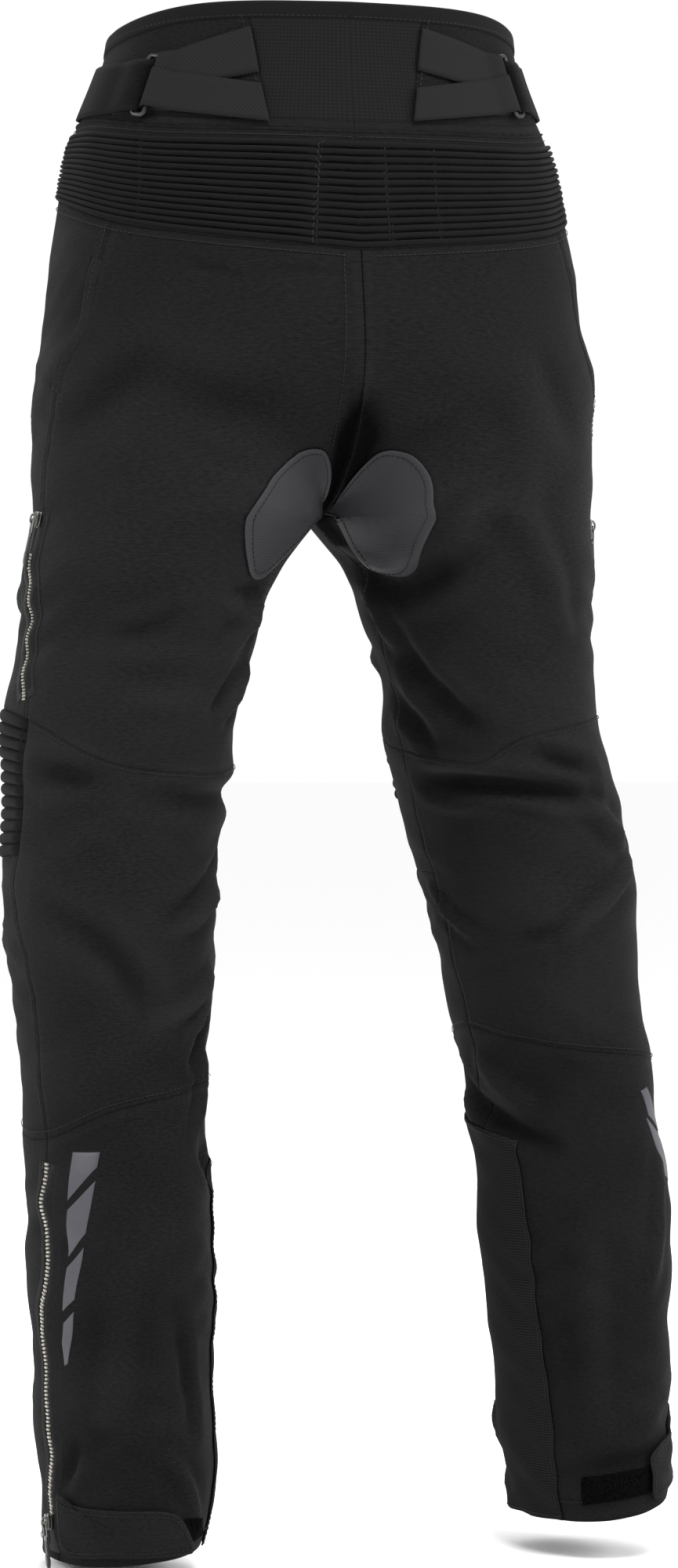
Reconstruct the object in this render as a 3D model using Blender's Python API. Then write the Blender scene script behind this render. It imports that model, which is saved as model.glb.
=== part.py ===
import math

import bmesh
import bpy
import numpy as np

for thing in list(bpy.data.objects):
    bpy.data.objects.remove(thing, do_unlink=True)

# Metres. +Z up, front of the garment towards -Y, the wearer's left towards +X, origin in the middle of the waist.
CLOTH, BAND_CLOTH, STRETCH_CLOTH = 0.0016, 0.0024, 0.0016
SEAM = 0.00018
LIFT = 0.0004
RIB_RISE = 0.0024
YOKE_RIBS, KNEE_RIBS, INSIDE_STEP = 14, 12, 4
SIDES = {"left": 1.0, "right": -1.0}

HIP_TABLE = (
    # height, half width, half depth, middle front to back
    (0.0520, 0.1390, 0.1000, 0.0040),
    (0.0200, 0.1430, 0.1040, 0.0020),
    (-0.0200, 0.1575, 0.1120, 0.0000),
    (-0.0450, 0.1681, 0.1170, 0.0000),
    (-0.0900, 0.1771, 0.1220, 0.0040),
    (-0.1350, 0.1846, 0.1270, 0.0080),
    (-0.1800, 0.1907, 0.1310, 0.0120),
    (-0.2250, 0.1952, 0.1330, 0.0140),
    (-0.2600, 0.1947, 0.1310, 0.0120),
    (-0.3000, 0.1900, 0.1260, 0.0100),
)
LEG_TABLES = {
    "left": (
        # height, middle across, middle front to back, half width, half depth, turn in degrees
        (-0.2990, 0.0975, 0.0080, 0.0975, 0.1120, 0.0),
        (-0.3300, 0.1125, 0.0050, 0.0880, 0.1070, 1.0),
        (-0.3730, 0.1209, 0.0000, 0.0804, 0.1000, 3.0),
        (-0.4170, 0.1306, -0.0060, 0.0768, 0.0960, 5.0),
        (-0.4600, 0.1342, -0.0120, 0.0761, 0.0930, 7.0),
        (-0.5040, 0.1357, -0.0180, 0.0725, 0.0910, 8.0),
        (-0.5480, 0.1389, -0.0160, 0.0698, 0.0880, 8.0),
        (-0.6130, 0.1410, -0.0040, 0.0663, 0.0850, 8.0),
        (-0.6780, 0.1421, 0.0100, 0.0593, 0.0830, 8.0),
        (-0.7440, 0.1428, 0.0180, 0.0574, 0.0820, 8.0),
        (-0.8090, 0.1404, 0.0220, 0.0590, 0.0800, 8.0),
        (-0.8750, 0.1395, 0.0230, 0.0575, 0.0780, 8.0),
        (-0.9400, 0.1368, 0.0210, 0.0558, 0.0770, 8.0),
        (-1.0100, 0.1373, 0.0180, 0.0480, 0.0740, 8.0),
    ),
    "right": (
        (-0.2990, 0.0975, 0.0080, 0.0975, 0.1120, 0.0),
        (-0.3300, 0.1120, 0.0050, 0.0845, 0.1070, 1.0),
        (-0.3730, 0.1225, 0.0000, 0.0753, 0.1000, 3.0),
        (-0.4170, 0.1295, -0.0060, 0.0695, 0.0960, 5.0),
        (-0.4600, 0.1383, -0.0120, 0.0707, 0.0930, 7.0),
        (-0.5040, 0.1526, -0.0180, 0.0735, 0.0910, 8.0),
        (-0.5480, 0.1616, -0.0160, 0.0712, 0.0880, 8.0),
        (-0.6130, 0.1685, -0.0040, 0.0635, 0.0850, 8.0),
        (-0.6780, 0.1750, 0.0100, 0.0602, 0.0830, 8.0),
        (-0.7440, 0.1834, 0.0180, 0.0604, 0.0820, 8.0),
        (-0.8090, 0.1882, 0.0220, 0.0598, 0.0800, 8.0),
        (-0.8750, 0.1899, 0.0230, 0.0557, 0.0780, 8.0),
        (-0.9400, 0.1940, 0.0210, 0.0505, 0.0770, 8.0),
        (-1.0000, 0.1975, 0.0180, 0.0450, 0.0740, 8.0),
    ),
}
CROTCH, SEAT_RISE, MIDDLE_GAP = -0.299, 0.120, 0.0002
HIP_SQUARE, LEG_SQUARE = 2.25, 2.15

SIDE_SEAM = (
    # height, share of the way from the back seam to the front seam
    (0.060, 0.310), (-0.030, 0.315), (-0.105, 0.330), (-0.140, 0.350), (-0.170, 0.372),
    (-0.205, 0.415), (-0.237, 0.447), (-0.270, 0.468), (-0.300, 0.478), (-0.360, 0.478),
    (-0.440, 0.462), (-0.482, 0.476), (-0.540, 0.492), (-0.570, 0.492), (-0.611, 0.472),
    (-0.700, 0.471), (-0.800, 0.468), (-0.860, 0.486), (-0.920, 0.482), (-1.020, 0.500),
)
LEVELS = {
    # the rows that seams follow: share, height
    "left": (
        ((0.0, 0.0460), (0.25, 0.0440), (0.45, 0.0350), (0.75, 0.0240), (1.0, 0.0200)),
        ((0.0, -0.0360), (0.25, -0.0320), (0.45, -0.0220), (0.75, -0.0250), (1.0, -0.0280)),
        ((0.0, -0.0490), (0.25, -0.0460), (0.45, -0.0370), (0.75, -0.0400), (1.0, -0.0430)),
        ((0.0, -0.1230), (0.19, -0.1130), (0.30, -0.1050), (0.45, -0.0890), (0.62, -0.0740), (1.0, -0.0740)),
        ((0.0, CROTCH), (1.0, CROTCH)),
        ((0.0, -0.4620), (0.20, -0.4745), (0.30, -0.4700), (0.46, -0.4380), (0.75, -0.4350), (1.0, -0.4620)),
        ((0.0, -0.5450), (0.45, -0.5300), (0.75, -0.5400), (1.0, -0.5450)),
        ((0.0, -0.6650), (0.13, -0.6830), (0.33, -0.7010), (0.47, -0.7220), (0.75, -0.7000), (1.0, -0.6650)),
        ((0.0, -0.9990), (0.16, -1.0010), (0.46, -1.0110), (0.75, -1.0080), (1.0, -0.9990)),
    ),
}
LEVELS["right"] = LEVELS["left"][:5] + (
    ((0.0, -0.4590), (0.20, -0.4670), (0.30, -0.4530), (0.46, -0.4320), (0.75, -0.4350), (1.0, -0.4590)),
    ((0.0, -0.5450), (0.45, -0.5300), (0.75, -0.5400), (1.0, -0.5450)),
    ((0.0, -0.6500), (0.11, -0.6590), (0.36, -0.6720), (0.47, -0.6800), (0.75, -0.6700), (1.0, -0.6500)),
    ((0.0, -0.9940), (0.20, -0.9890), (0.37, -0.9790), (0.55, -0.9760), (0.80, -0.9860), (1.0, -0.9940)),
)
ROWS = np.concatenate([
    (0, 0.33, 0.66), (1,), 2 + np.arange(4) / 4,
    3 + np.array((0, 0.15, 0.30, 0.45, 0.60, 0.72, 0.82, 0.90, 0.955, 0.99)),
    4 + np.arange(7) / 7, 5 + np.arange(5) / 5, 6 + np.arange(6) / 6, 7 + np.arange(11) / 11, (8,),
])
COLUMNS = np.concatenate([
    (0, 0.09, 0.18, 0.28, 0.38, 0.48, 0.58, 0.68, 0.78, 0.89),
    1 + np.array((0, 0.10, 0.20, 0.31, 0.42, 0.53, 0.63, 0.71, 0.78, 0.89)), (2,),
])
FOLDS = {
    # from share and height to share and height, half width, rise (a trough is below zero)
    "left": (
        (0.02, -0.352, 0.15, -0.349, 0.013, -0.0035),
        (0.05, -0.400, 0.165, -0.434, 0.014, 0.0030),
        (0.03, -0.486, 0.27, -0.494, 0.013, -0.0050),
        (0.05, -0.560, 0.20, -0.574, 0.015, 0.0040),
        (0.06, -0.535, 0.20, -0.548, 0.013, -0.0040),
        (0.06, -0.602, 0.21, -0.632, 0.015, 0.0036),
        (0.09, -0.660, 0.19, -0.722, 0.015, 0.0040),
        (0.05, -0.712, 0.12, -0.745, 0.014, -0.0040),
        (0.411, -0.905, 0.452, -0.950, 0.015, -0.0030),
        (0.225, -0.930, 0.195, -0.972, 0.014, 0.0026),
        (0.215, -0.126, 0.130, -0.142, 0.013, -0.0022),
        (0.62, -0.235, 0.86, -0.285, 0.017, -0.0040),
        (0.66, -0.330, 0.90, -0.315, 0.016, -0.0036),
        (0.60, -0.590, 0.83, -0.604, 0.015, -0.0034),
        (0.66, -0.655, 0.90, -0.640, 0.015, 0.0032),
        (0.60, -0.880, 0.70, -0.930, 0.016, -0.0030),
    ),
    "right": (
        (0.01, -0.350, 0.165, -0.346, 0.013, -0.0040),
        (0.00, -0.393, 0.155, -0.446, 0.014, 0.0034),
        (0.03, -0.478, 0.26, -0.486, 0.013, -0.0055),
        (-0.05, -0.500, 0.27, -0.508, 0.013, -0.0040),
        (0.20, -0.462, 0.29, -0.476, 0.014, 0.0035),
        (-0.05, -0.563, 0.085, -0.598, 0.015, 0.0040),
        (0.31, -0.571, 0.235, -0.592, 0.014, 0.0038),
        (-0.03, -0.650, 0.07, -0.687, 0.015, 0.0042),
        (0.07, -0.687, 0.13, -0.724, 0.015, 0.0042),
        (0.00, -0.690, 0.07, -0.722, 0.014, -0.0036),
        (0.165, -0.198, 0.275, -0.265, 0.018, -0.0040),
        (0.60, -0.228, 0.85, -0.280, 0.017, -0.0038),
        (0.64, -0.338, 0.88, -0.312, 0.016, -0.0034),
        (0.62, -0.585, 0.80, -0.600, 0.015, -0.0036),
        (0.64, -0.640, 0.88, -0.662, 0.015, 0.0034),
        (0.58, -0.868, 0.69, -0.912, 0.016, -0.0030),
    ),
}


def curve_through(table, height):
    """Reads every column of a table at these heights, on a smooth curve through its rows."""
    rows = np.array(sorted(table), float)
    at, values = rows[:, 0], rows[:, 1:]
    slopes = np.gradient(values, at, axis=0)
    height = np.asarray(height, float)
    i = np.clip(np.searchsorted(at, height) - 1, 0, len(at) - 2)
    span = (at[i + 1] - at[i])[..., None]
    u = np.clip((height - at[i])[..., None] / span, 0, 1)
    return (
        values[i] * (1 + 2 * u) * (1 - u) ** 2 + values[i + 1] * u * u * (3 - 2 * u)
        + span * slopes[i] * u * (1 - u) ** 2 - span * slopes[i + 1] * u * u * (1 - u)
    )


def power(value, exponent):
    return np.sign(value) * np.abs(value) ** exponent


def plain_point(side, share, height):
    """The outer face before folds, share 0 at the back seam or inseam, 0.5 outside, 1 at the front seam."""
    share, height = np.broadcast_arrays(np.asarray(share, float), np.asarray(height, float))
    hip, leg = curve_through(HIP_TABLE, height), curve_through(LEG_TABLES[side], height)
    rise = np.clip((height - CROTCH) / SEAT_RISE, 0, 1)
    at_seam, beside = 1 - np.sqrt(1 - (1 - rise) ** 2), 1 - rise * rise * (3 - 2 * rise)
    leg_weight = at_seam + (beside - at_seam) * np.sin(np.pi * np.clip(share, 0, 1)) ** 0.42
    hip_angle, leg_angle = np.pi * (0.5 - share), np.pi * (1 - 2 * share)
    hip_x = hip[..., 0] * power(np.cos(hip_angle), 2 / HIP_SQUARE)
    hip_y = hip[..., 2] + hip[..., 1] * power(np.sin(hip_angle), 2 / HIP_SQUARE)
    turn = np.radians(leg[..., 4]) * SIDES[side]
    across = leg[..., 2] * power(np.cos(leg_angle), 2 / LEG_SQUARE)
    along = leg[..., 3] * power(np.sin(leg_angle), 2 / LEG_SQUARE)
    leg_x = leg[..., 0] + across * np.cos(turn) - along * np.sin(turn)
    leg_y = leg[..., 1] + across * np.sin(turn) + along * np.cos(turn)
    x = hip_x * (1 - leg_weight) + leg_x * leg_weight + MIDDLE_GAP
    y = hip_y * (1 - leg_weight) + leg_y * leg_weight
    return np.stack([SIDES[side] * x, y, height], axis=-1)


def fold_rise(side, share, height):
    """How far the folds stand out of the plain face."""
    total = np.zeros(np.broadcast(share, height).shape)
    for share_a, height_a, share_b, height_b, width, rise in FOLDS[side]:
        for wrap in (-1, 0, 1):
            if wrap and height_a > CROTCH - 0.01:
                continue
            run_x, run_z = (share_b - share_a) * 0.48, height_b - height_a
            x, z = (share + wrap - share_a) * 0.48, height - height_a
            along = (x * run_x + z * run_z) / (run_x ** 2 + run_z ** 2)
            held = np.clip(along, 0, 1)
            off = np.hypot(x - held * run_x, z - held * run_z)
            total += rise * np.exp(-(off / width) ** 2) * (0.45 + 0.55 * np.sin(np.pi * held))
    return total


def seam_share(height):
    return curve_through(SIDE_SEAM, np.clip(height, -1.02, 0.06))[..., 0]


def level_heights(side, share):
    return np.concatenate([curve_through(level, share) for level in LEVELS[side]], axis=-1)


def to_share_height(side, column, row):
    """Turns a place on the pattern, counted in seams, into share and height."""
    column, row = np.broadcast_arrays(np.asarray(column, float), np.asarray(row, float))
    lower = np.clip(row.astype(int), 0, 7)
    share = column / 2
    for _ in range(6):
        heights = level_heights(side, share)
        top = np.take_along_axis(heights, lower[..., None], -1)[..., 0]
        low = np.take_along_axis(heights, lower[..., None] + 1, -1)[..., 0]
        height = top + (low - top) * (row - lower)
        seam = seam_share(height)
        share = np.where(column < 1, column * seam, seam + (column - 1) * (1 - seam))
    return share, height


def to_pattern(side, share, height):
    """Turns share and height back into a place on the pattern."""
    shift = math.floor(share)
    share -= shift
    seam = float(seam_share(height))
    column = share / seam if share < seam else 1 + (share - seam) / (1 - seam)
    heights = level_heights(side, np.array(share))
    i = int(np.clip(np.sum(heights > height) - 1, 0, 7))
    return column + 2 * shift, i + (heights[i] - height) / (heights[i] - heights[i + 1])


def cloth_grid(side, columns, rows):
    """Points and outward normals of the cloth at these places on the pattern."""
    def face(col, row):
        share, height = to_share_height(side, col, row)
        return share, height, plain_point(side, share, height)
    col, row = np.meshgrid(columns, rows)
    share, height, points = face(col, row)
    step = 0.02
    across = face(np.minimum(col + step, 2), row)[2] - face(np.maximum(col - step, 0), row)[2]
    down = face(col, np.minimum(row + step, 8))[2] - face(col, np.maximum(row - step, 0))[2]
    normals = np.cross(across, down) * SIDES[side]
    normals /= np.maximum(np.linalg.norm(normals, axis=-1, keepdims=True), 1e-9)
    on_leg = height[:, 0] <= CROTCH + 1e-6
    both = normals[on_leg, 0] + normals[on_leg, -1]
    both /= np.maximum(np.linalg.norm(both, axis=-1, keepdims=True), 1e-9)
    if abs(columns[0]) < 1e-9 and abs(columns[-1] - 2) < 1e-9:
        normals[on_leg, 0] = normals[on_leg, -1] = both
    for edge, at in ((0, 0.0), (-1, 2.0)):
        if abs(columns[edge] - at) < 1e-9:
            normals[~on_leg, edge, 0] = 0
    normals /= np.maximum(np.linalg.norm(normals, axis=-1, keepdims=True), 1e-9)
    points = points + normals * fold_rise(side, share, height)[..., None]
    for edge, at in ((0, 0.0), (-1, 2.0)):
        if abs(columns[edge] - at) < 1e-9:
            points[~on_leg, edge, 0] = SIDES[side] * MIDDLE_GAP
    return points, normals


BASE = {side: cloth_grid(side, COLUMNS, ROWS) for side in SIDES}


def make_object(name, vertices, faces, material, merge=0.0):
    mesh = bpy.data.meshes.new(name)
    mesh.from_pydata([tuple(v) for v in vertices], [], [tuple(f) for f in faces])
    mesh.validate()
    work = bmesh.new()
    work.from_mesh(mesh)
    if merge:
        bmesh.ops.remove_doubles(work, verts=work.verts, dist=merge)
        bmesh.ops.dissolve_degenerate(work, dist=merge / 4, edges=work.edges)
        bmesh.ops.dissolve_limit(work, angle_limit=0.0005, verts=work.verts, edges=work.edges)
    bmesh.ops.triangulate(work, faces=work.faces)
    bmesh.ops.recalc_face_normals(work, faces=work.faces)
    if work.calc_volume(signed=True) < 0:
        bmesh.ops.reverse_faces(work, faces=work.faces)
    work.to_mesh(mesh)
    work.free()
    mesh.materials.append(material)
    thing = bpy.data.objects.new(name, mesh)
    bpy.context.scene.collection.objects.link(thing)
    return thing


def wall(name, outer, inner, material, step=1):
    """A sheet of cloth with an outer and an inner grid, closed all round its edge. The inner one keeps one row in every step."""
    rows, columns = outer.shape[:2]
    inner = inner[::step]
    count = rows * columns
    faces = []
    for start, net_rows, turned in ((0, rows, False), (count, len(inner), True)):
        for i in range(net_rows - 1):
            for j in range(columns - 1):
                a, d = start + i * columns + j, start + (i + 1) * columns + j
                pair = [(a, a + 1, d + 1), (a, d + 1, d)]
                faces += [face[::-1] for face in pair] if turned else pair
    for i, k in ((0, 0), (rows - 1, len(inner) - 1)):
        for j in range(columns - 1):
            a, b = i * columns + j, count + k * columns + j
            faces.append((a, a + 1, b + 1, b))
    for j in (0, columns - 1):
        for i in range(rows - 1):
            a, near, after = i * columns + j, (i + step // 2) // step, (i + 1 + step // 2) // step
            inside, further = count + near * columns + j, count + after * columns + j
            if step == 1:
                inside, further = count + i * columns + j, count + (i + 1) * columns + j
            faces.append((a, a + columns, further, inside) if inside != further else (a, a + columns, inside))
    vertices = np.concatenate([outer.reshape(-1, 3), inner.reshape(-1, 3)])
    return make_object(name, vertices, faces, material)


def drawn_in(grid, gap):
    """Moves the edge of a grid a little towards its middle."""
    out = grid.copy()
    for axis in (0, 1):
        for edge, inside in ((0, 1), (-1, -2)):
            a, b = np.take(grid, edge, axis), np.take(grid, inside, axis)
            move = (b - a) / np.maximum(np.linalg.norm(b - a, axis=-1, keepdims=True), 1e-9) * gap
            if axis:
                out[:, edge] += move
            else:
                out[edge] += move
    return out


def span(values, first, last):
    return np.array([first] + [v for v in values if first + 0.02 < v < last - 0.02] + [last])


def raised(points, normals, thick, ribs):
    """The outer and inner grids of a panel, with ribs in the outer one over a plain inside."""
    rise = np.zeros(points.shape[:2])
    if ribs:
        rise[1:-1:2, 1:-1] = RIB_RISE
    return points + normals * rise[..., None], points - normals * thick


def follow_neighbour(side, column, rows, points, normals, edge):
    """Gives the edge of a finely cut panel the straight steps of the coarser panel beside it."""
    coarse = span(ROWS, rows[0], rows[-1])
    base = cloth_grid(side, np.array([column]), coarse)
    for net, base_net in zip((points, normals), base):
        for k in range(3):
            net[:, edge, k] = np.interp(rows, coarse, base_net[:, 0, k])


def panel(name, side, columns, rows, thick, material, ribs=None):
    points, normals = cloth_grid(side, columns, rows)
    if ribs:
        follow_neighbour(side, columns[0], rows, points, normals, 0)
        follow_neighbour(side, columns[-1], rows, points, normals, -1)
    outer, inner = raised(points, normals, thick, ribs)
    return wall(name + "_" + side, drawn_in(outer, SEAM), drawn_in(inner, SEAM), material, INSIDE_STEP if ribs else 1)


def slanted_grid(side, ends, rows, columns):
    """A grid whose columns run from ends[0] in the top row to ends[1] in the lowest."""
    nets = []
    for row, share in zip(rows, np.linspace(0, 1, len(rows))):
        points, normals = cloth_grid(side, columns(ends[0] + (ends[1] - ends[0]) * share), np.array([row]))
        nets.append((points[0], normals[0]))
    return np.array([p for p, _ in nets]), np.array([n for _, n in nets])


def middle_panel(name, ends, rows, thick, material, ribs=None):
    """A panel that runs over the centre back, from the right side to the left."""
    points, normals = [], []
    for side in ("right", "left"):
        steps = span(COLUMNS, 0, ends[side][1]) / ends[side][1]
        half_points, half_normals = slanted_grid(side, ends[side], rows, lambda end: steps * end)
        if ribs:
            follow_neighbour(side, ends[side][1], rows, half_points, half_normals, -1)
        points.append(half_points[:, :0:-1] if side == "right" else half_points)
        normals.append(half_normals[:, :0:-1] if side == "right" else half_normals)
    middle = points[0].shape[1]
    points, normals = np.concatenate(points, axis=1), np.concatenate(normals, axis=1)
    points[:, middle, 0] = 0
    outer, inner = raised(points, normals, thick, ribs)
    return wall(name, drawn_in(outer, SEAM), drawn_in(inner, SEAM), material, INSIDE_STEP if ribs else 1)


def clip_to(outline, edge):
    """Keeps the part of an outline on the inner side of one edge, given as a, b, c of ax + by + c >= 0."""
    a, b, c = edge
    kept = []
    for i, here in enumerate(outline):
        there = outline[(i + 1) % len(outline)]
        d0, d1 = a * here[0] + b * here[1] + c, a * there[0] + b * there[1] + c
        if d0 >= 0:
            kept.append(here)
        if (d0 > 0 > d1) or (d0 < 0 < d1):
            t = d0 / (d0 - d1)
            kept.append((here[0] + t * (there[0] - here[0]), here[1] + t * (there[1] - here[1])))
    return kept


def clip_into(placed, points, normals, found, vertices, faces):
    """Cuts one outline that turns one way along the facets of the cloth, and adds what lies in each facet."""
    wide = points.shape[1] - 1
    xs, ys = [p[0] for p in placed], [p[1] for p in placed]
    for i in range(math.floor(min(ys)), math.ceil(max(ys))):
        for j in range(math.floor(min(xs)), math.ceil(max(xs))):
            for half in (0, 1):
                edges = ((0, 1, -i), (-1, 0, j + 1), (1, -1, i - j)) if half == 0 else \
                    ((0, -1, i + 1), (1, 0, -j), (-1, 1, j - i))
                piece = placed
                for edge in edges:
                    piece = clip_to(piece, edge) if piece else piece
                if len(piece) < 3:
                    continue
                area = sum(p[0] * q[1] - q[0] * p[1] for p, q in zip(piece, piece[1:] + piece[:1]))
                if abs(area) < 1e-8:
                    continue
                corners = ((i, j), (i, j + 1), (i + 1, j + 1)) if half == 0 else ((i, j), (i + 1, j + 1), (i + 1, j))
                face = []
                for x, y in piece:
                    key = (round(x, 5), round(y, 5))
                    if key not in found:
                        fx, fy = x - j, y - i
                        weights = (1 - fx, fx - fy, fy) if half == 0 else (1 - fy, fx, fy - fx)
                        spots = [(a, b if b == wide else b % wide) for a, b in corners]
                        found[key] = len(vertices)
                        vertices.append([sum(w * net[spot] for w, spot in zip(weights, spots)) for net in (points, normals)])
                    if found[key] not in face:
                        face.append(found[key])
                if len(face) > 2:
                    faces.append(face)


def bulges_in(outline):
    """Whether an outline turns both ways."""
    turns = []
    for i in range(len(outline)):
        a, b, c = outline[i - 2], outline[i - 1], outline[i]
        turns.append((b[0] - a[0]) * (c[1] - b[1]) - (b[1] - a[1]) * (c[0] - b[0]))
    return min(turns) < -1e-9 and max(turns) > 1e-9


def laid_on(name, side, outline, lift, thick, material):
    """A flat piece laid on the cloth inside an outline of share and height, or inside a row of them."""
    points, normals = BASE[side]
    wide = len(COLUMNS) - 1

    def place(share, height):
        column, row = to_pattern(side, share, height)
        turns = math.floor(column / 2)
        x = float(np.interp(column - 2 * turns, COLUMNS, np.arange(wide + 1))) + turns * wide
        y = float(np.interp(row, ROWS, np.arange(len(ROWS))))
        return tuple(round(v) if abs(v - round(v)) < 0.05 else v for v in (x, y))

    if isinstance(outline[0][0], tuple):
        parts = [[place(*point) for point in part] for part in outline]
    else:
        parts = [[place(*point) for point in outline]]
        if bulges_in(parts[0]):
            ring = parts[0]
            centre = tuple(sum(v) / len(ring) for v in zip(*ring))
            parts = [[centre, a, b] for a, b in zip(ring, ring[1:] + ring[:1])]
    found, vertices, faces = {}, [], []
    for placed in parts:
        area = sum(p[0] * q[1] - q[0] * p[1] for p, q in zip(placed, placed[1:] + placed[:1]))
        if area < 0:
            placed = placed[::-1]
        clip_into(placed, points, normals, found, vertices, faces)
    count = len(vertices)
    places = [p + n * (lift + thick) for p, n in vertices] + [p + n * lift for p, n in vertices]
    loose = {}
    for face in faces:
        for a, b in zip(face, face[1:] + face[:1]):
            loose[(a, b)] = loose.get((a, b), 0) + 1
    rim = [(a, b) for a, b in loose if (b, a) not in loose]
    solid = [tuple(f) for f in faces] + [tuple(v + count for v in reversed(f)) for f in faces]
    solid += [(b, a, a + count, b + count) for a, b in rim]
    return make_object(name + "_" + side, places, solid, material, merge=0.00004)


def ribbon(path, width):
    """The outlines of a strip along a path of share and height."""
    path = np.array(path, float)
    run = np.gradient(path * (0.48, 1), axis=0)
    run /= np.linalg.norm(run, axis=1, keepdims=True)
    off = np.stack([-run[:, 1] / 0.48, run[:, 0]], axis=1) * width / 2
    one, other = [tuple(p) for p in path + off], [tuple(p) for p in path - off]
    return [[one[i], one[i + 1], other[i + 1], other[i]] for i in range(len(one) - 1)]


def material(name, colour, rough, metal=0.0):
    made = bpy.data.materials.new(name)
    made.use_nodes = True
    shader = made.node_tree.nodes["Principled BSDF"]
    shader.inputs["Base Color"].default_value = (*colour, 1)
    shader.inputs["Roughness"].default_value = rough
    shader.inputs["Metallic"].default_value = metal
    return made


softshell = material("black_softshell", (0.018, 0.018, 0.019), 0.85)
stretch = material("black_stretch_rib", (0.014, 0.014, 0.015), 0.9)
brushed = material("black_brushed_binding", (0.020, 0.020, 0.021), 0.95)
grid_cloth = material("black_grid_fabric", (0.017, 0.017, 0.018), 0.8)
grip = material("charcoal_grip_cloth", (0.045, 0.045, 0.047), 0.75)
elastic = material("charcoal_elastic", (0.030, 0.030, 0.030), 0.8)
tape = material("black_zip_tape", (0.016, 0.016, 0.017), 0.7)
hook = material("black_hook_and_loop", (0.013, 0.013, 0.014), 0.95)
gunmetal = material("gunmetal_wire", (0.060, 0.060, 0.062), 0.35, 0.9)
nickel = material("dark_nickel", (0.110, 0.110, 0.110), 0.3, 0.9)
rubber = material("black_moulded_rubber", (0.012, 0.012, 0.012), 0.6)

# waist
band_rows = span(ROWS, 0, 1)
BACK_PANEL = {"left": (0.448, 0.308), "right": (0.342, 0.219)}
middle_panel("waistband_back", BACK_PANEL, band_rows, BAND_CLOTH, grid_cloth)
for side, ends in BACK_PANEL.items():
    steps = (span(COLUMNS, ends[1], 2) - ends[1]) / (2 - ends[1])
    points, normals = slanted_grid(side, ends, band_rows, lambda start: start + steps * (2 - start))
    wall("waistband_" + side, drawn_in(points, SEAM), drawn_in(points - normals * BAND_CLOTH, SEAM), softshell)
    panel("waist_facing", side, COLUMNS, np.array((1.0, 2.0)), CLOTH, softshell)

# stretch yoke, over the whole back
yoke_end = {side: 1.42 for side in SIDES}
yoke_rows = np.linspace(2, 3, 2 * YOKE_RIBS + 1)
middle_panel("stretch_yoke", {side: (yoke_end[side], yoke_end[side]) for side in SIDES}, yoke_rows, STRETCH_CLOTH, stretch, ribs=True)

for side in SIDES:
    panel("front_yoke", side, span(COLUMNS, yoke_end[side] + 0.003, 2), span(ROWS, 2, 3), CLOTH, softshell)
    panel("seat_and_thigh", side, span(COLUMNS, 0, 1), span(ROWS, 3, 5), CLOTH, softshell)
    panel("front_and_thigh", side, span(COLUMNS, 1, 2), span(ROWS, 3, 5), CLOTH, softshell)
    panel("knee_stretch", side, span(COLUMNS, 1, 1.78), np.linspace(5, 6, 2 * KNEE_RIBS + 1), STRETCH_CLOTH, stretch, ribs=True)
    panel("knee_inside", side, span(COLUMNS, 1.783, 2), span(ROWS, 5, 6), CLOTH, softshell)
    panel("calf_back", side, span(COLUMNS, 0, 1), span(ROWS, 5, 7), CLOTH, softshell)
    panel("shin", side, span(COLUMNS, 1, 2), span(ROWS, 6, 7), CLOTH, softshell)
    panel("calf_lower", side, span(COLUMNS, 0, 1), span(ROWS, 7, 8), CLOTH, softshell)
    panel("shin_lower", side, span(COLUMNS, 1, 2), span(ROWS, 7, 8), CLOTH, softshell)

# pieces laid on the cloth
SEAT_PATCH = {
    "left": ((0.046, -0.2542), (0.021, -0.2620), (0.010, -0.2800), (0.018, -0.2915), (0.067, -0.2990), (0.086, -0.3136), (0.108, -0.3324),
             (0.135, -0.3420), (0.163, -0.3404), (0.192, -0.3218), (0.215, -0.3012), (0.189, -0.2858), (0.128, -0.2666), (0.081, -0.2568)),
    "right": ((0.058, -0.2552), (0.103, -0.2578), (0.153, -0.2720), (0.188, -0.2990), (0.151, -0.3192), (0.117, -0.3356), (0.085, -0.3420),
              (0.054, -0.3352), (0.044, -0.3142), (0.040, -0.3005), (0.016, -0.2900), (0.017, -0.2770), (0.032, -0.2640)),
}
THIGH_ZIP = ((0.488, -0.296), (0.488, -0.325), (0.481, -0.350), (0.484, -0.380), (0.484, -0.402), (0.468, -0.424))
HEM_ZIP = {
    "left": ((0.472, -0.738), (0.474, -0.775), (0.473, -0.815), (0.486, -0.855), (0.489, -0.890), (0.487, -0.935), (0.498, -0.975), (0.504, -1.006)),
    "right": ((0.472, -0.700), (0.474, -0.745), (0.472, -0.790), (0.484, -0.830), (0.488, -0.865), (0.486, -0.905), (0.494, -0.945), (0.500, -0.972)),
}
GRIP_PANEL = {
    "left": ((-0.150, -0.712), (0.000, -0.722), (0.095, -0.738), (0.100, -0.800), (0.108, -0.900), (0.112, -0.994),
             (-0.160, -0.994)),
    "right": ((-0.150, -0.712), (0.000, -0.722), (0.070, -0.729), (0.078, -0.810), (0.092, -0.930), (0.090, -0.984),
              (-0.160, -0.986)),
}
HEM_TAB = {
    "left": ((0.462, -0.9635), (0.411, -0.9680), (0.275, -0.9690), (0.240, -0.9710), (0.214, -0.9790), (0.186, -0.9960),
             (0.210, -0.9990), (0.462, -1.0020)),
    "right": ((0.462, -0.9180), (0.386, -0.9270), (0.306, -0.9410), (0.288, -0.9500), (0.285, -0.9700), (0.300, -0.9745),
              (0.462, -0.9560)),
}
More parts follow.
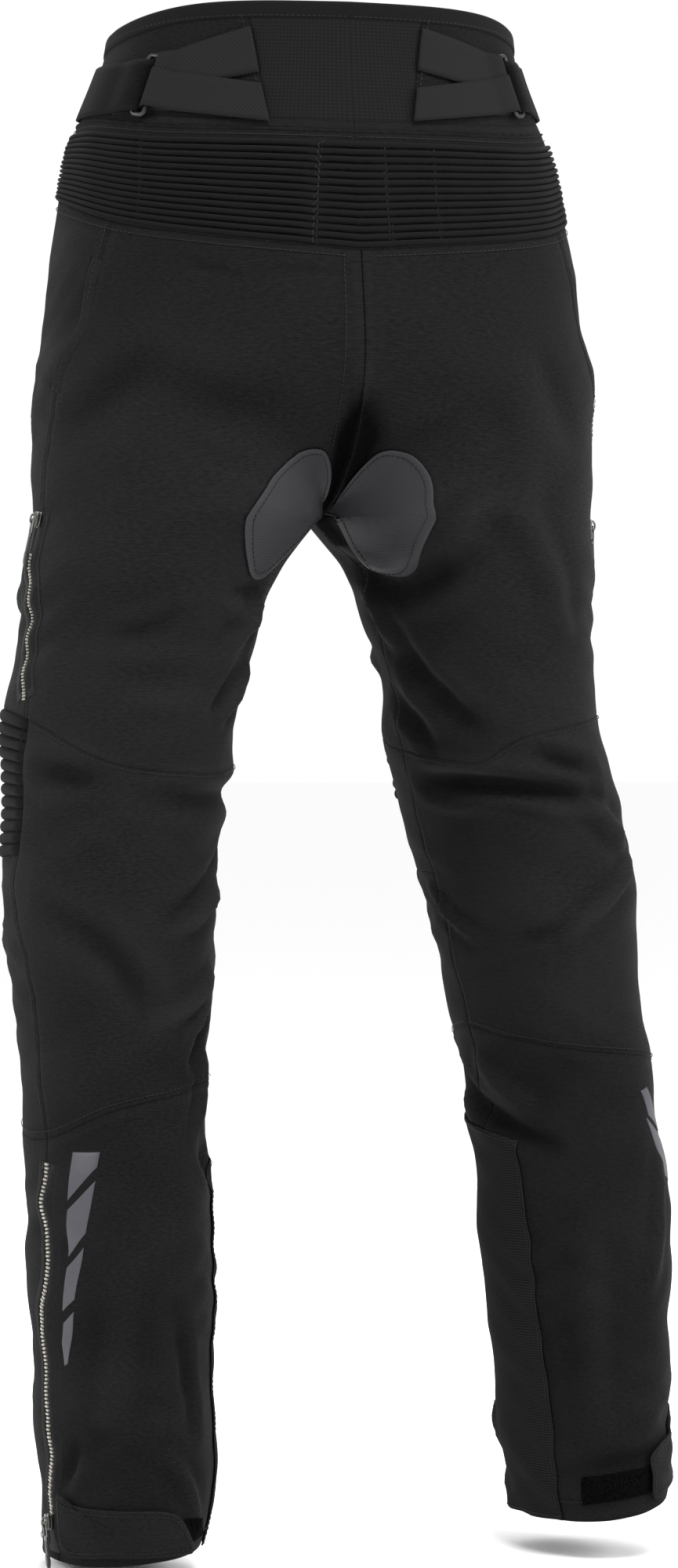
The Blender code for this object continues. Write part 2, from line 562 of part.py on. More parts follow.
LOOP_PATCH = {
    "left": ((0.232, -0.9765), (0.162, -0.9765), (0.131, -0.9900), (0.170, -0.9930), (0.226, -0.9905)),
    "right": ((0.139, -0.9600), (0.320, -0.9510), (0.320, -0.9690), (0.139, -0.9790)),
}
POCKET = ((0.352, -0.128), (0.366, -0.150), (0.376, -0.172), (0.412, -0.196), (0.434, -0.216))
for side in SIDES:
    laid_on("seat_patch", side, SEAT_PATCH[side], LIFT, 0.0012, grip)
    laid_on("pocket_welt", side, ribbon(POCKET, 0.011), LIFT, 0.0012, softshell)
    laid_on("thigh_zip_tape", side, ribbon(THIGH_ZIP, 0.020), LIFT, 0.0010, tape)
    laid_on("hem_zip_tape", side, ribbon(HEM_ZIP[side], 0.015), LIFT, 0.0010, tape)
    laid_on("calf_grip", side, GRIP_PANEL[side], LIFT, 0.0012, grip)
    laid_on("loop_patch", side, LOOP_PATCH[side], LIFT, 0.0010, hook)
    laid_on("hem_tab", side, HEM_TAB[side], 0.0018, 0.0016, softshell)

# waist straps, on the side bands
RING = {"left": (0.307, -0.0085), "right": (0.275, -0.0015)}
STRAPS = {
    "left": (((0.140, 0.0285), (0.123, -0.0030), (0.157, -0.0058), (0.2885, 0.0042), (0.2885, 0.0105)),
             ((0.110, -0.0112), (0.099, -0.0374), (0.2885, -0.0245), (0.2885, 0.0022))),
    "right": (((0.107, 0.0310), (0.090, 0.0015), (0.122, -0.0048), (0.2565, 0.0062), (0.2565, 0.0158)),
              ((0.082, -0.0112), (0.068, -0.0345), (0.2565, -0.0210), (0.2565, 0.0042))),
}
HOOK_STRAP = {
    "left": ((0.3310, 0.0090), (0.3310, -0.0275), (0.700, -0.0230), (0.720, -0.0140), (0.720, 0.0070), (0.700, 0.0150)),
    "right": ((0.2990, 0.0160), (0.2990, -0.0200), (0.700, -0.0200), (0.720, -0.0110), (0.720, 0.0080), (0.700, 0.0160)),
}
for side in SIDES:
    for name, outline in zip(("upper", "lower"), STRAPS[side]):
        laid_on("elastic_" + name, side, outline, LIFT, 0.0014, elastic)
    laid_on("hook_strap", side, HOOK_STRAP[side], 0.0016, 0.0018, hook)


def frame_at(side, share, height, down_share=0.0):
    """A place on the cloth with its outward, down and across directions."""
    at = plain_point(side, share, height) + 0.0
    rise = fold_rise(side, np.array(share), np.array(height))
    across = plain_point(side, share + 0.002, height) - plain_point(side, share - 0.002, height)
    down = plain_point(side, share, height - 0.002) - plain_point(side, share, height + 0.002)
    out = np.cross(across, down) * SIDES[side]
    out, down = out / np.linalg.norm(out), down / np.linalg.norm(down)
    across = np.cross(down, out)
    return at + out * float(rise), out, down, across / np.linalg.norm(across)


def lattice(name, frame, plane, first, second, filled, thick, made_of):
    """One body of equal thickness from the filled cells of a lattice, in the plane of two frame directions."""
    at, directions = frame[0], dict(zip("odx", frame[1:]))
    u, v = directions[plane[0]], directions[plane[1]]
    w = directions[({"o", "d", "x"} - set(plane)).pop()]
    found, vertices, faces, edges = {}, [], [], []

    def corner(i, j, k):
        if (i, j, k) not in found:
            found[(i, j, k)] = len(vertices)
            vertices.append(at + u * first[i] + v * second[j] + w * thick[k])
        return found[(i, j, k)]

    for j, row in enumerate(filled):
        for i, cell in enumerate(row):
            if cell == "#":
                ring = ((i, j), (i + 1, j), (i + 1, j + 1), (i, j + 1))
                faces += [[corner(*c, 0) for c in ring], [corner(*c, 1) for c in reversed(ring)]]
                edges += list(zip(ring, ring[1:] + ring[:1]))
    for a, b in edges:
        if (b, a) not in edges:
            faces.append([corner(*b, 0), corner(*a, 0), corner(*a, 1), corner(*b, 1)])
    return make_object(name, vertices, faces, made_of)


def apply(thing):
    bpy.context.view_layer.update()
    shaped = bpy.data.meshes.new_from_object(thing.evaluated_get(bpy.context.evaluated_depsgraph_get()))
    thing.modifiers.clear()
    thing.data = shaped


# rings that the elastic and the hook straps meet at
for side in SIDES:
    at, out, down, across = frame_at(side, *RING[side])
    curve = bpy.data.curves.new("ring_" + side, "CURVE")
    curve.dimensions, curve.bevel_depth, curve.bevel_resolution, curve.resolution_u = "3D", 0.00175, 1, 1
    line = curve.splines.new("POLY")
    half_wide, half_tall, corner = 0.0050, 0.0205, 0.003
    ring = []
    for cx, cy, start in ((1, 1, 0), (-1, 1, 90), (-1, -1, 180), (1, -1, 270)):
        for k in range(3):
            angle = math.radians(start + 45 * k)
            ring.append((cx * (half_wide - corner) + corner * math.cos(angle), cy * (half_tall - corner) + corner * math.sin(angle)))
    line.points.add(len(ring) - 1)
    for point, (x, y) in zip(line.points, ring):
        point.co = (*(at + across * x + down * y + out * 0.0044), 1)
    line.use_cyclic_u = True
    thing = bpy.data.objects.new("ring_" + side, curve)
    bpy.context.scene.collection.objects.link(thing)
    mesh = bpy.data.meshes.new_from_object(thing.evaluated_get(bpy.context.evaluated_depsgraph_get()))
    mesh.materials.clear()
    mesh.materials.append(gunmetal)
    bpy.data.objects.remove(thing, do_unlink=True)
    bpy.context.scene.collection.objects.link(bpy.data.objects.new("waist_ring_" + side, mesh))

# zip sliders with a bail, and the pulls that hang from them
PULLS = {
    "thigh": {"left": (0.486, -0.302), "right": (0.486, -0.302)},
    "hem": {"left": (0.500, -0.984), "right": (0.494, -0.950)},
}
for kind, places in PULLS.items():
    for side, (share, height) in places.items():
        frame = frame_at(side, share, height)
        slider = lattice("%s_slider_%s" % (kind, side), frame, "xd", (-0.0038, 0.0038), (-0.0055, 0.0055), ("#",), (0.0019, 0.0053), nickel)
        bail = lattice("bail", frame, "do", (-0.0036, -0.0024, 0.0024, 0.0036), (0.0045, 0.0076, 0.0088), ("#.#", "###"), (-0.0006, 0.0006), nickel)
        join = slider.modifiers.new("join", "BOOLEAN")
        join.operation, join.object, join.solver = "UNION", bail, "EXACT"
        apply(slider)
        bpy.data.objects.remove(bail, do_unlink=True)
        lattice("%s_pull_%s" % (kind, side), frame, "xd", (-0.0034, -0.0020, 0.0020, 0.0034), (-0.0006, 0.0006, 0.0092, 0.0106, 0.0320),
                ("###", "#.#", "###", ".#."), (0.0059, 0.0071), rubber)

# front closure
for name, side, outline, lift, thick, made_of in (
    ("fly_flap", "left", ((0.900, -0.046), (0.9985, -0.046), (0.9985, -0.200), (0.960, -0.196), (0.905, -0.150)), LIFT, 0.0014, softshell),
    ("waist_tab", "left", ((0.880, 0.013), (0.880, -0.020), (0.9985, -0.022), (0.9985, 0.015)), LIFT, 0.0018, softshell),
):
    laid_on(name, side, outline, lift, thick, made_of)

at, out, down, across = frame_at("left", 0.955, -0.004)
work = bmesh.new()
bmesh.ops.create_cone(work, cap_ends=True, segments=20, radius1=0.0075, radius2=0.0060, depth=0.0024)
turned = [at + out * (0.0032 + v.co.z) + across * v.co.x + down * v.co.y for v in work.verts]
work.verts.index_update()
cap_faces = [tuple(v.index for v in face.verts) for face in work.faces]
work.free()
make_object("waist_snap", turned, cap_faces, nickel)
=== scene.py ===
import math

import bmesh
import bpy
import numpy as np
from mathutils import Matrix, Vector


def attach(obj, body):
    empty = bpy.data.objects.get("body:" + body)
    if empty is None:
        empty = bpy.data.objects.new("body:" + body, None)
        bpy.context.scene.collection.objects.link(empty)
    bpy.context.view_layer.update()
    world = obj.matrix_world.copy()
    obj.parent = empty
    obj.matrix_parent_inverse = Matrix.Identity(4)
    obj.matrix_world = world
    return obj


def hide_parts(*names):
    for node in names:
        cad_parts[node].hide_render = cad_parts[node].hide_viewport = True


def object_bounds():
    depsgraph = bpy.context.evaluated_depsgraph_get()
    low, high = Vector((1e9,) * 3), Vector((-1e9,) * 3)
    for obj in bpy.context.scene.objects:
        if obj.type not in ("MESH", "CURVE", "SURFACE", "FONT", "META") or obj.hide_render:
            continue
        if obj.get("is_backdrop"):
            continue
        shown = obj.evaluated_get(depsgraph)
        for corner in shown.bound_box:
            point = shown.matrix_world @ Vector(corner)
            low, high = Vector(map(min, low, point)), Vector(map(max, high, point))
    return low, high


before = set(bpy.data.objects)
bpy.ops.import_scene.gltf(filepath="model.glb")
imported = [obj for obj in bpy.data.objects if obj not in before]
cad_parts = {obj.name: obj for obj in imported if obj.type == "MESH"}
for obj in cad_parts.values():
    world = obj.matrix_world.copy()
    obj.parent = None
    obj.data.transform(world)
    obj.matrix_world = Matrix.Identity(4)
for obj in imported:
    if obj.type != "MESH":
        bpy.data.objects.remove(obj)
cad_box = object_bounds()
ROOT = "trousers"

# Studio. A white paper floor and a white room light the black cloth from all round, with a broad
# soft box over the camera and weaker ones beside it. The camera looks at the back, a little from
# the wearer's left, level and from far off, as for a catalogue.


def linear(code):
    """The scene's linear colour for an sRGB hex value."""
    parts = [int(code[i:i + 2], 16) / 255 for i in (1, 3, 5)]
    return tuple(c / 12.92 if c <= 0.04045 else ((c + 0.055) / 1.055) ** 2.4 for c in parts) + (1.0,)


def feed(node, key, value):
    """Sets one input of a node: a value, an sRGB hex colour, a socket, or another node's first output."""
    if isinstance(value, bpy.types.Node):
        value = value.outputs[0]
    if isinstance(value, bpy.types.NodeSocket):
        node.id_data.links.new(value, node.inputs[key])
    else:
        node.inputs[key].default_value = linear(value) if str(value).startswith("#") else value


def add(tree, kind, inputs=None, **settings):
    """Adds a node, with its settings, and with values or links for its inputs."""
    made = tree.nodes.new(kind if "Node" in kind else "ShaderNode" + kind)
    for key, value in settings.items():
        setattr(made, key, value)
    for key, value in (inputs or {}).items():
        feed(made, key, value)
    return made


def new_finish(name, colour, roughness, by_object=False, **fixed):
    """A material with one shader, and its place in metres: on the pattern, or in the object. The rest of its
    nodes are added where the material is described."""
    made = bpy.data.materials.new(name)
    made.use_nodes = True
    tree = made.node_tree
    tree.nodes.clear()
    fixed = {key.replace("_", " ").title().replace("Ior", "IOR"): value for key, value in fixed.items()}
    shader = add(tree, "BsdfPrincipled", {"Base Color": colour, "Roughness": roughness, **fixed})
    add(tree, "OutputMaterial", {"Surface": shader})
    place = add(tree, "TexCoord").outputs["Object"] if by_object else add(tree, "UVMap", uv_map="pattern")
    return made, tree, shader, place


def mixed(tree, share, dark, light):
    return add(tree, "MixRGB", {"Fac": share, 1: dark, 2: light})


def tinted(shader, share, dark, light):
    """The base colour runs from dark to light by a share."""
    feed(shader, "Base Color", mixed(shader.id_data, share, dark, light))


scene = bpy.context.scene
scene.view_settings.view_transform = "Standard"
AZIMUTH = math.radians(165)
back = Vector((math.sin(AZIMUTH), -math.cos(AZIMUTH), 0))
right = (-back).cross(Vector((0, 0, 1)))
camera = bpy.data.objects.new("camera", bpy.data.cameras.new("camera"))
scene.collection.objects.link(camera)
scene.camera = camera
camera.data.lens, camera.data.sensor_width = 118.9, 36
camera.location = back * 3.6 + Vector((0, 0, -0.45))
aim = right * 0.0204 + Vector((0, 0, -0.4823))
camera.rotation_euler = (aim - camera.location).to_track_quat("-Z", "Y").to_euler()

low = min(corner[2] for corner in cad_box)
paper, tree, shader, place = new_finish("matt_white_paper", "#FAFAFA", 0.9, specular_ior_level=0.2)
grain = add(tree, "TexNoise", {"Scale": 3.0, "Detail": 2.0})
tinted(shader, grain, "#F7F7F7", "#FDFDFD")
floor_mesh = bpy.data.meshes.new("studio_floor")
floor_corners = [(x, y, low - 0.002) for x, y in ((-60, -60), (60, -60), (60, 60), (-60, 60))]
floor_mesh.from_pydata(floor_corners, [], [(0, 1, 2, 3)])
floor_mesh.materials.append(paper)
floor = bpy.data.objects.new("studio_floor", floor_mesh)
scene.collection.objects.link(floor)
floor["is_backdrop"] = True

room = bpy.data.worlds.new("white_room")
scene.world = room
room.use_nodes = True
room.node_tree.nodes["Background"].inputs["Color"].default_value = linear("#FAFAFA")
room.node_tree.nodes["Background"].inputs["Strength"].default_value = 1.06
for name, turn, high, size, power in (
    ("soft_box_over_camera", 18, 2.6, 1.3, 141), ("soft_box_left", -72, 0.4, 1.0, 34),
    ("soft_box_right", 76, 0.6, 1.0, 40), ("soft_box_front", 180, 1.4, 1.6, 40),
):
    lamp = bpy.data.objects.new(name, bpy.data.lights.new(name, "AREA"))
    lamp.data.shape, lamp.data.size, lamp.data.energy = "SQUARE", size, power
    angle = math.radians(turn)
    away = back * math.cos(angle) + right * math.sin(angle)
    lamp.location = away * 2.4 + Vector((0, 0, high))
    lamp.rotation_euler = (Vector((0, 0, -0.45)) - lamp.location).to_track_quat("-Z", "Y").to_euler()
    scene.collection.objects.link(lamp)

# Main cloth. A black three-layer softshell with a fine twill face, cut into shaped panels for seat,
# thighs, knees and calves and sewn with turned allowances, so each panel rolls in at its seams.
# The panels keep the shape of the body that wore them, with soft creases at seat, knees and calves.
SIDES = {"left": 1.0, "right": -1.0}
CLOTH, GIRTH = 0.0016, 0.46  # metres: wall of the cloth, and cloth from back seam to front seam
CREASE_GIRTH, COLUMN_WIDTH = 0.48, 0.23  # metres: GIRTH as the creases take it, and cloth to one column


def counted(rows):
    """Turns the whole numbers of a table, tenths of a millimetre and ten-thousandths of a share, into metres and
    shares."""
    if isinstance(rows, dict):
        return {key: counted(row) for key, row in rows.items()}
    if isinstance(rows, tuple):
        return tuple(counted(row) for row in rows)
    return rows / 1e4 if isinstance(rows, int) else rows


HIP_TABLE = counted((
    # height, half width, half depth, middle front to back
    (520, 1390, 1000, 40), (200, 1430, 1040, 20), (-200, 1575, 1120, 0),
    (-450, 1681, 1170, 0), (-900, 1771, 1220, 40), (-1350, 1846, 1270, 80),
    (-1800, 1907, 1310, 120), (-2250, 1952, 1330, 140), (-2600, 1947, 1310, 120),
    (-3000, 1900, 1260, 100),
))
LEG_TABLES = counted({
    # height, middle across, middle front to back, half width, half depth, turn in degrees
    "left": (
        (-2990, 975, 80, 975, 1120, 0.0), (-3300, 1125, 50, 880, 1070, 1.0),
        (-3730, 1209, 0, 804, 1000, 3.0), (-4170, 1306, -60, 768, 960, 5.0),
        (-4600, 1342, -120, 761, 930, 7.0), (-5040, 1357, -180, 725, 910, 8.0),
        (-5480, 1389, -160, 698, 880, 8.0), (-6130, 1410, -40, 663, 850, 8.0),
        (-6780, 1421, 100, 593, 830, 8.0), (-7440, 1428, 180, 574, 820, 8.0),
        (-8090, 1404, 220, 590, 800, 8.0), (-8750, 1395, 230, 575, 780, 8.0),
        (-9400, 1368, 210, 558, 770, 8.0), (-10100, 1373, 180, 480, 740, 8.0),
    ),
    "right": (
        (-2990, 975, 80, 975, 1120, 0.0), (-3300, 1120, 50, 845, 1070, 1.0),
        (-3730, 1225, 0, 753, 1000, 3.0), (-4170, 1295, -60, 695, 960, 5.0),
        (-4600, 1383, -120, 707, 930, 7.0), (-5040, 1526, -180, 735, 910, 8.0),
        (-5480, 1616, -160, 712, 880, 8.0), (-6130, 1685, -40, 635, 850, 8.0),
        (-6780, 1750, 100, 602, 830, 8.0), (-7440, 1834, 180, 604, 820, 8.0),
        (-8090, 1882, 220, 598, 800, 8.0), (-8750, 1899, 230, 557, 780, 8.0),
        (-9400, 1940, 210, 505, 770, 8.0), (-10000, 1975, 180, 450, 740, 8.0),
    ),
})
CROTCH, SEAT_RISE, MIDDLE_GAP, HIP_SQUARE, LEG_SQUARE = -0.299, 0.120, 0.0002, 2.25, 2.15
SIDE_SEAM = counted((
    # height, share of the way from the back seam to the front seam
    (600, 3100), (-300, 3150), (-1050, 3300), (-1400, 3500), (-1700, 3720), (-2050, 4150), (-2370, 4470),
    (-2700, 4680), (-3000, 4780), (-3600, 4780), (-4400, 4620), (-4820, 4760), (-5400, 4920), (-5700, 4920),
    (-6110, 4720), (-7000, 4710), (-8000, 4680), (-8600, 4860), (-9200, 4820), (-10200, 5000),
))
LEVELS = counted({
    # the seams that run round: share, height. Rim, band, yoke top, yoke low, crotch, knee, below the knee, calf, hem
    "left": (
        ((0, 460), (2500, 440), (4500, 350), (7500, 240), (10000, 200)),
        ((0, -360), (2500, -320), (4500, -220), (7500, -250), (10000, -280)),
        ((0, -490), (2500, -460), (4500, -370), (7500, -400), (10000, -430)),
        ((0, -1230), (1900, -1130), (3000, -1050), (4500, -890), (6200, -740), (10000, -740)),
        ((0, CROTCH), (10000, CROTCH)),
        ((0, -4620), (2000, -4745), (3000, -4700), (4600, -4380), (7500, -4350), (10000, -4620)),
        ((0, -5450), (4500, -5300), (7500, -5400), (10000, -5450)),
        ((0, -6650), (1300, -6830), (3300, -7010), (4700, -7220), (7500, -7000), (10000, -6650)),
        ((0, -9990), (1600, -10010), (4600, -10110), (7500, -10080), (10000, -9990)),
    ),
})
LEVELS["right"] = LEVELS["left"][:5] + counted((
    ((0, -4590), (900, -4650), (1550, -4650), (1850, -4570), (2150, -4500), (2700, -4440), (3600, -4370),
    (4600, -4320), (7500, -4350), (10000, -4590)),
    ((0, -5450), (4500, -5300), (7500, -5400), (10000, -5450)),
    ((0, -6500), (1100, -6590), (3600, -6720), (4700, -6800), (7500, -6700), (10000, -6500)),
    ((0, -9940), (2000, -9890), (3700, -9790), (5500, -9760), (8000, -9860), (10000, -9940)),
))
CREASES = counted({
    # from share and height to share and height, how far it bows, half width, rise (a trough is below zero)
    "left": (
        (2060, -1290, 1280, -1410, -15, 40, -28), (940, -1380, 140, -1390, 10, 40, -16),
        (2580, -1980, 3970, -2400, 0, 140, -44), (1830, -3510, 1060, -3530, 10, 60, -48),
        (1110, -3510, 1690, -3910, 30, 100, 68), (3640, -3940, 1530, -4010, 20, 100, 28),
        (2970, -4250, 2000, -4280, 0, 100, 24), (1000, -4020, 1560, -4380, 20, 60, 60),
        (1360, -4040, 1810, -4330, 20, 60, -56), (300, -4860, 2700, -4940, 10, 110, -68),
        (4220, -5660, 3330, -5920, 20, 120, -48), (3470, -5820, 2670, -6290, 30, 120, -72),
        (1060, -5530, 2250, -5830, 20, 70, 68), (1250, -5420, 2360, -5700, 20, 80, -56),
        (1140, -6120, 2580, -6430, 30, 80, 68), (1250, -6260, 1920, -6500, 20, 60, 60),
        (1360, -6410, 1640, -6710, 0, 80, -60), (1190, -6670, 1690, -7190, 20, 70, 68),
        (1360, -7310, 1000, -7500, 0, 80, -72), (2250, -8330, 1940, -9190, 30, 100, -44),
        (4190, -9290, 4530, -9550, 0, 80, -44), (2420, -9340, 1670, -9810, 30, 80, 48),
        (4250, -4720, 3450, -4800, 10, 110, -88), (1200, -3720, 2000, -3600, 10, 70, 34),
        (2500, -3680, 3300, -3820, 20, 80, -30), (700, -5200, 1200, -5420, 10, 70, -46),
        (3140, -8160, 3390, -9170, 0, 160, 32), (1000, -2320, 2350, -2140, 40, 200, -32),
        (6200, -2320, 8600, -2880, 40, 110, -76), (6000, -2620, 8000, -3180, 30, 90, 44),
        (6600, -3340, 9000, -3120, -30, 100, -64), (5600, -3520, 7000, -3720, 20, 80, 48),
        (8200, -3720, 9600, -3920, 20, 80, 44), (5600, -5660, 7600, -5840, 30, 90, -60),
        (6000, -5920, 8400, -6060, -20, 90, 60), (6600, -6600, 9000, -6400, 30, 100, 52),
        (6400, -7450, 7600, -7720, 20, 100, -48), (6000, -8800, 7000, -9340, 30, 100, -56),
        (7600, -9060, 8800, -9520, 20, 90, 48),
    ),
    "right": (
        (-30, -3300, 690, -3490, 20, 120, -96), (690, -3490, 1830, -3280, 30, 120, -96),
        (110, -3510, 390, -3890, 20, 80, 60), (420, -3860, 1440, -4410, 30, 120, -88),
        (110, -4240, 690, -4590, 0, 90, -52), (2440, -2890, 1720, -3290, 0, 100, 48),
        (2780, -2720, 3080, -3730, 20, 120, 40), (1940, -2010, 3030, -2610, 0, 150, 44),
        (460, -2360, 1200, -2260, 10, 120, 20),
        (400, -4810, 3000, -4910, -20, 95, -150), (450, -4910, 2150, -5040, -10, 40, -40),
        (2780, -4870, 3560, -5210, 30, 100, 64), (1350, -5890, 2150, -5810, 10, 60, -44),
        (3900, -5380, 2150, -5900, 40, 70, 66), (-200, -5580, 760, -5900, 30, 65, 54),
        (2350, -4630, 3150, -4710, 10, 90, -76), (-890, -6860, 1360, -7300, 40, 100, -84),
        (80, -6770, 1060, -7020, 20, 90, 60), (3500, -7450, 3000, -8260, 0, 100, 36),
        (1860, -7900, 1830, -9280, 0, 160, 32), (1030, -9580, 3470, -9420, 0, 100, -36),
        (6000, -2280, 8500, -2820, 40, 110, -72), (6200, -2620, 8200, -3220, 30, 90, 44),
        (6400, -3400, 8800, -3100, -30, 100, -60), (8000, -3780, 9400, -3980, 20, 80, 48),
        (5800, -5620, 7400, -5780, 30, 90, -60), (6200, -5880, 8000, -6040, -20, 90, 60),
        (6400, -6400, 8800, -6640, 30, 100, 56), (6400, -7420, 7800, -7640, 20, 100, -52),
        (5800, -8680, 6900, -9160, 30, 100, -56), (7800, -9000, 9000, -9400, 20, 90, 48),
    ),
})
SLACK = np.random.RandomState(41)
WAVES = [(SLACK.randint(-4, 5), SLACK.uniform(28, 95), SLACK.uniform(0, 6.28), SLACK.uniform(0.3, 1.0))
    for _ in range(12)]
CRUMPLE = [(SLACK.randint(-13, 14), SLACK.uniform(110, 260), SLACK.uniform(0, 6.28), SLACK.uniform(0.4, 1.0))
    for _ in range(22)]


def curve_through(table, height):
    """Reads every column of a table at these heights, on a smooth curve through its rows."""
    rows = np.array(sorted(table), float)
    at, values = rows[:, 0], rows[:, 1:]
    slopes = np.gradient(values, at, axis=0)
    height = np.asarray(height, float)
    i = np.clip(np.searchsorted(at, height) - 1, 0, len(at) - 2)
    span = (at[i + 1] - at[i])[..., None]
    u = np.clip((height - at[i])[..., None] / span, 0, 1)
    return (
        values[i] * (1 + 2 * u) * (1 - u) ** 2 + values[i + 1] * u * u * (3 - 2 * u)
        + span * slopes[i] * u * (1 - u) ** 2 - span * slopes[i + 1] * u * u * (1 - u)
    )


def plain_point(side, share, height):
    """The outer face before creases, share 0 at the back seam or inseam, 0.5 outside, 1 at the front seam."""
    power = lambda value, exponent: np.sign(value) * np.abs(value) ** exponent
    share, height = np.broadcast_arrays(np.asarray(share, float), np.asarray(height, float))
    hip, leg = curve_through(HIP_TABLE, height), curve_through(LEG_TABLES[side], height)
    rise = np.clip((height - CROTCH) / SEAT_RISE, 0, 1)
    at_seam, beside = 1 - np.sqrt(1 - (1 - rise) ** 2), 1 - rise * rise * (3 - 2 * rise)
    off_seam = np.clip((np.minimum(share, 1 - share) - 0.004) / 0.026, 0, 1)
    low_down = np.clip(1 - rise / 0.24, 0, 1)
    at_seam = at_seam + (beside - at_seam) * low_down ** 2 * off_seam * off_seam * (3 - 2 * off_seam)
    leg_weight = at_seam + (beside - at_seam) * np.sin(np.pi * np.clip(share, 0, 1)) ** 0.42
    hip_angle, leg_angle = np.pi * (0.5 - share), np.pi * (1 - 2 * share)
    hip_x = hip[..., 0] * power(np.cos(hip_angle), 2 / HIP_SQUARE)
    hip_y = hip[..., 2] + hip[..., 1] * power(np.sin(hip_angle), 2 / HIP_SQUARE)
    turn = np.radians(leg[..., 4]) * SIDES[side]
    across = leg[..., 2] * power(np.cos(leg_angle), 2 / LEG_SQUARE)
    along = leg[..., 3] * power(np.sin(leg_angle), 2 / LEG_SQUARE)
    leg_x = leg[..., 0] + across * np.cos(turn) - along * np.sin(turn)
    leg_y = leg[..., 1] + across * np.sin(turn) + along * np.cos(turn)
    x = hip_x * (1 - leg_weight) + leg_x * leg_weight + MIDDLE_GAP
    return np.stack([SIDES[side] * x, hip_y * (1 - leg_weight) + leg_y * leg_weight, height], axis=-1)


def crease_rise(side, share, height):
    """How far the creases and the slack of the cloth, as wearing left it, stand out of the plain face."""
    total = np.zeros(share.shape)
    other = {"left": "right", "right": "left"}[side]
    rows = [(row, shift, 1) for row in CREASES[side] for shift in ((0,) if row[1] > CROTCH else (-1, 0, 1))]
    rows += [(row, shift, -1) for shift in (0, 2) for row in CREASES[other] if row[1] > CROTCH]
    for (share_a, height_a, share_b, height_b, bow, width, rise), shift, sense in rows:
        run_x, run_z = (share_b - share_a) * CREASE_GIRTH, height_b - height_a
        x, z = (shift + sense * share - share_a) * CREASE_GIRTH, height - height_a
        length = math.hypot(run_x, run_z)
        along = (x * run_x + z * run_z) / length ** 2
        held = np.clip(along, 0, 1)
        beside = (x * run_z - z * run_x) / length - bow * 4 * held * (1 - held)
        past = (along - held) * length
        off = np.hypot(beside, past) / (0.8 * width)
        shape = np.exp(-off ** 2) - 0.32 * np.exp(-((np.abs(off) - 1.7) / 0.8) ** 2)
        total += rise * shape * (0.35 + 0.65 * np.sin(np.pi * held) ** 0.7)
    below = np.clip((CROTCH - height) / 0.06, 0, 1)
    below = below * below * (3 - 2 * below)
    calm = (np.abs(np.sin(np.pi * share)) * (1 - below) + below) * np.clip((-0.10 - height) / 0.08, 0, 1)
    for turns, fine, start, strength in WAVES:
        total += 0.00060 * strength * calm * np.sin(2 * np.pi * turns * share + fine * height + start)
    broad = 0.5 + 0.5 * np.sin(4 * np.pi * share + 31 * height + 1.1)
    worked = calm * (0.30 + 0.70 * broad * (0.5 + 0.5 * np.sin(2 * np.pi * share - 47 * height)))
    for turns, fine, start, strength in CRUMPLE:
        bent = 1.3 * np.sin(2 * np.pi * share + 23 * height)
        total += 0.00028 * strength * worked * np.sin(2 * np.pi * turns * share + fine * height + start + bent)
    return total


def surface(side, share, height, lift=0.0):
    """Places on the outer face of the cloth, and the directions that point out of it."""
    share, height = (v + 0.0 for v in np.broadcast_arrays(np.asarray(share, float), np.asarray(height, float)))
    above, step = height > CROTCH + 1e-6, 0.002
    ahead = np.where(above, np.minimum(share + step, 1), share + step)
    behind = np.where(above, np.maximum(share - step, 0), share - step)
    across = plain_point(side, ahead, height) - plain_point(side, behind, height)
    down = plain_point(side, share, height - step / 2) - plain_point(side, share, height + step / 2)
    out = np.cross(across, down) * SIDES[side]
    middle = above & ((share < 1e-4) | (share > 1 - 1e-4))
    out[..., 0] = np.where(middle, 0, out[..., 0])
    out /= np.maximum(np.linalg.norm(out, axis=-1, keepdims=True), 1e-9)
    points = plain_point(side, share, height) + out * (crease_rise(side, share, height) + lift)[..., None]
    points[..., 0] = np.where(middle, SIDES[side] * MIDDLE_GAP, points[..., 0])
    return points, out


def to_share_height(side, column, row):
    """Turns a place on the pattern, counted in seams, into share and height."""
    column, row = np.broadcast_arrays(np.asarray(column, float), np.asarray(row, float))
    lower, share = np.clip(row.astype(int), 0, 7), column / 2
    for _ in range(5):
        heights = np.concatenate([curve_through(level, share) for level in LEVELS[side]], axis=-1)
        top = np.take_along_axis(heights, lower[..., None], -1)[..., 0]
        under = np.take_along_axis(heights, lower[..., None] + 1, -1)[..., 0]
        height = top + (under - top) * (row - lower)
        seam = curve_through(SIDE_SEAM, np.clip(height, -1.02, 0.06))[..., 0]
        share = np.where(column < 1, column * seam, seam + (column - 1) * (1 - seam))
    return share, height


def net_lines(first, last, length, step=0.0045):
    """Where the lines of a panel's net lie: close together beside its seams, even between them."""
    near = np.array((-0.0004, 0.0006, 0.0016, 0.0032, 0.0052, 0.0080)) / length * (last - first)
    middle = np.linspace(first + near[-1], last - near[-1], max(3, round((length - 0.016) / step)))[1:-1]
    return np.concatenate([first + near, middle, last - near[::-1]])


def to_border(points, runs_on=False):
    """Metres from each point of a net to its nearest sewn edge. Where a panel runs on, its first column isn't one."""
    nearest = np.full(points.shape[:2], 9.0)
    for axis in (0, 1):
        steps = np.linalg.norm(np.diff(points, axis=axis), axis=-1)
        run = np.insert(np.cumsum(steps, axis=axis), 0, 0, axis=axis)
        whole = np.take(run, [-1], axis=axis)
        nearest = np.minimum(nearest, whole - run if axis and runs_on else np.minimum(run, whole - run))
    return nearest


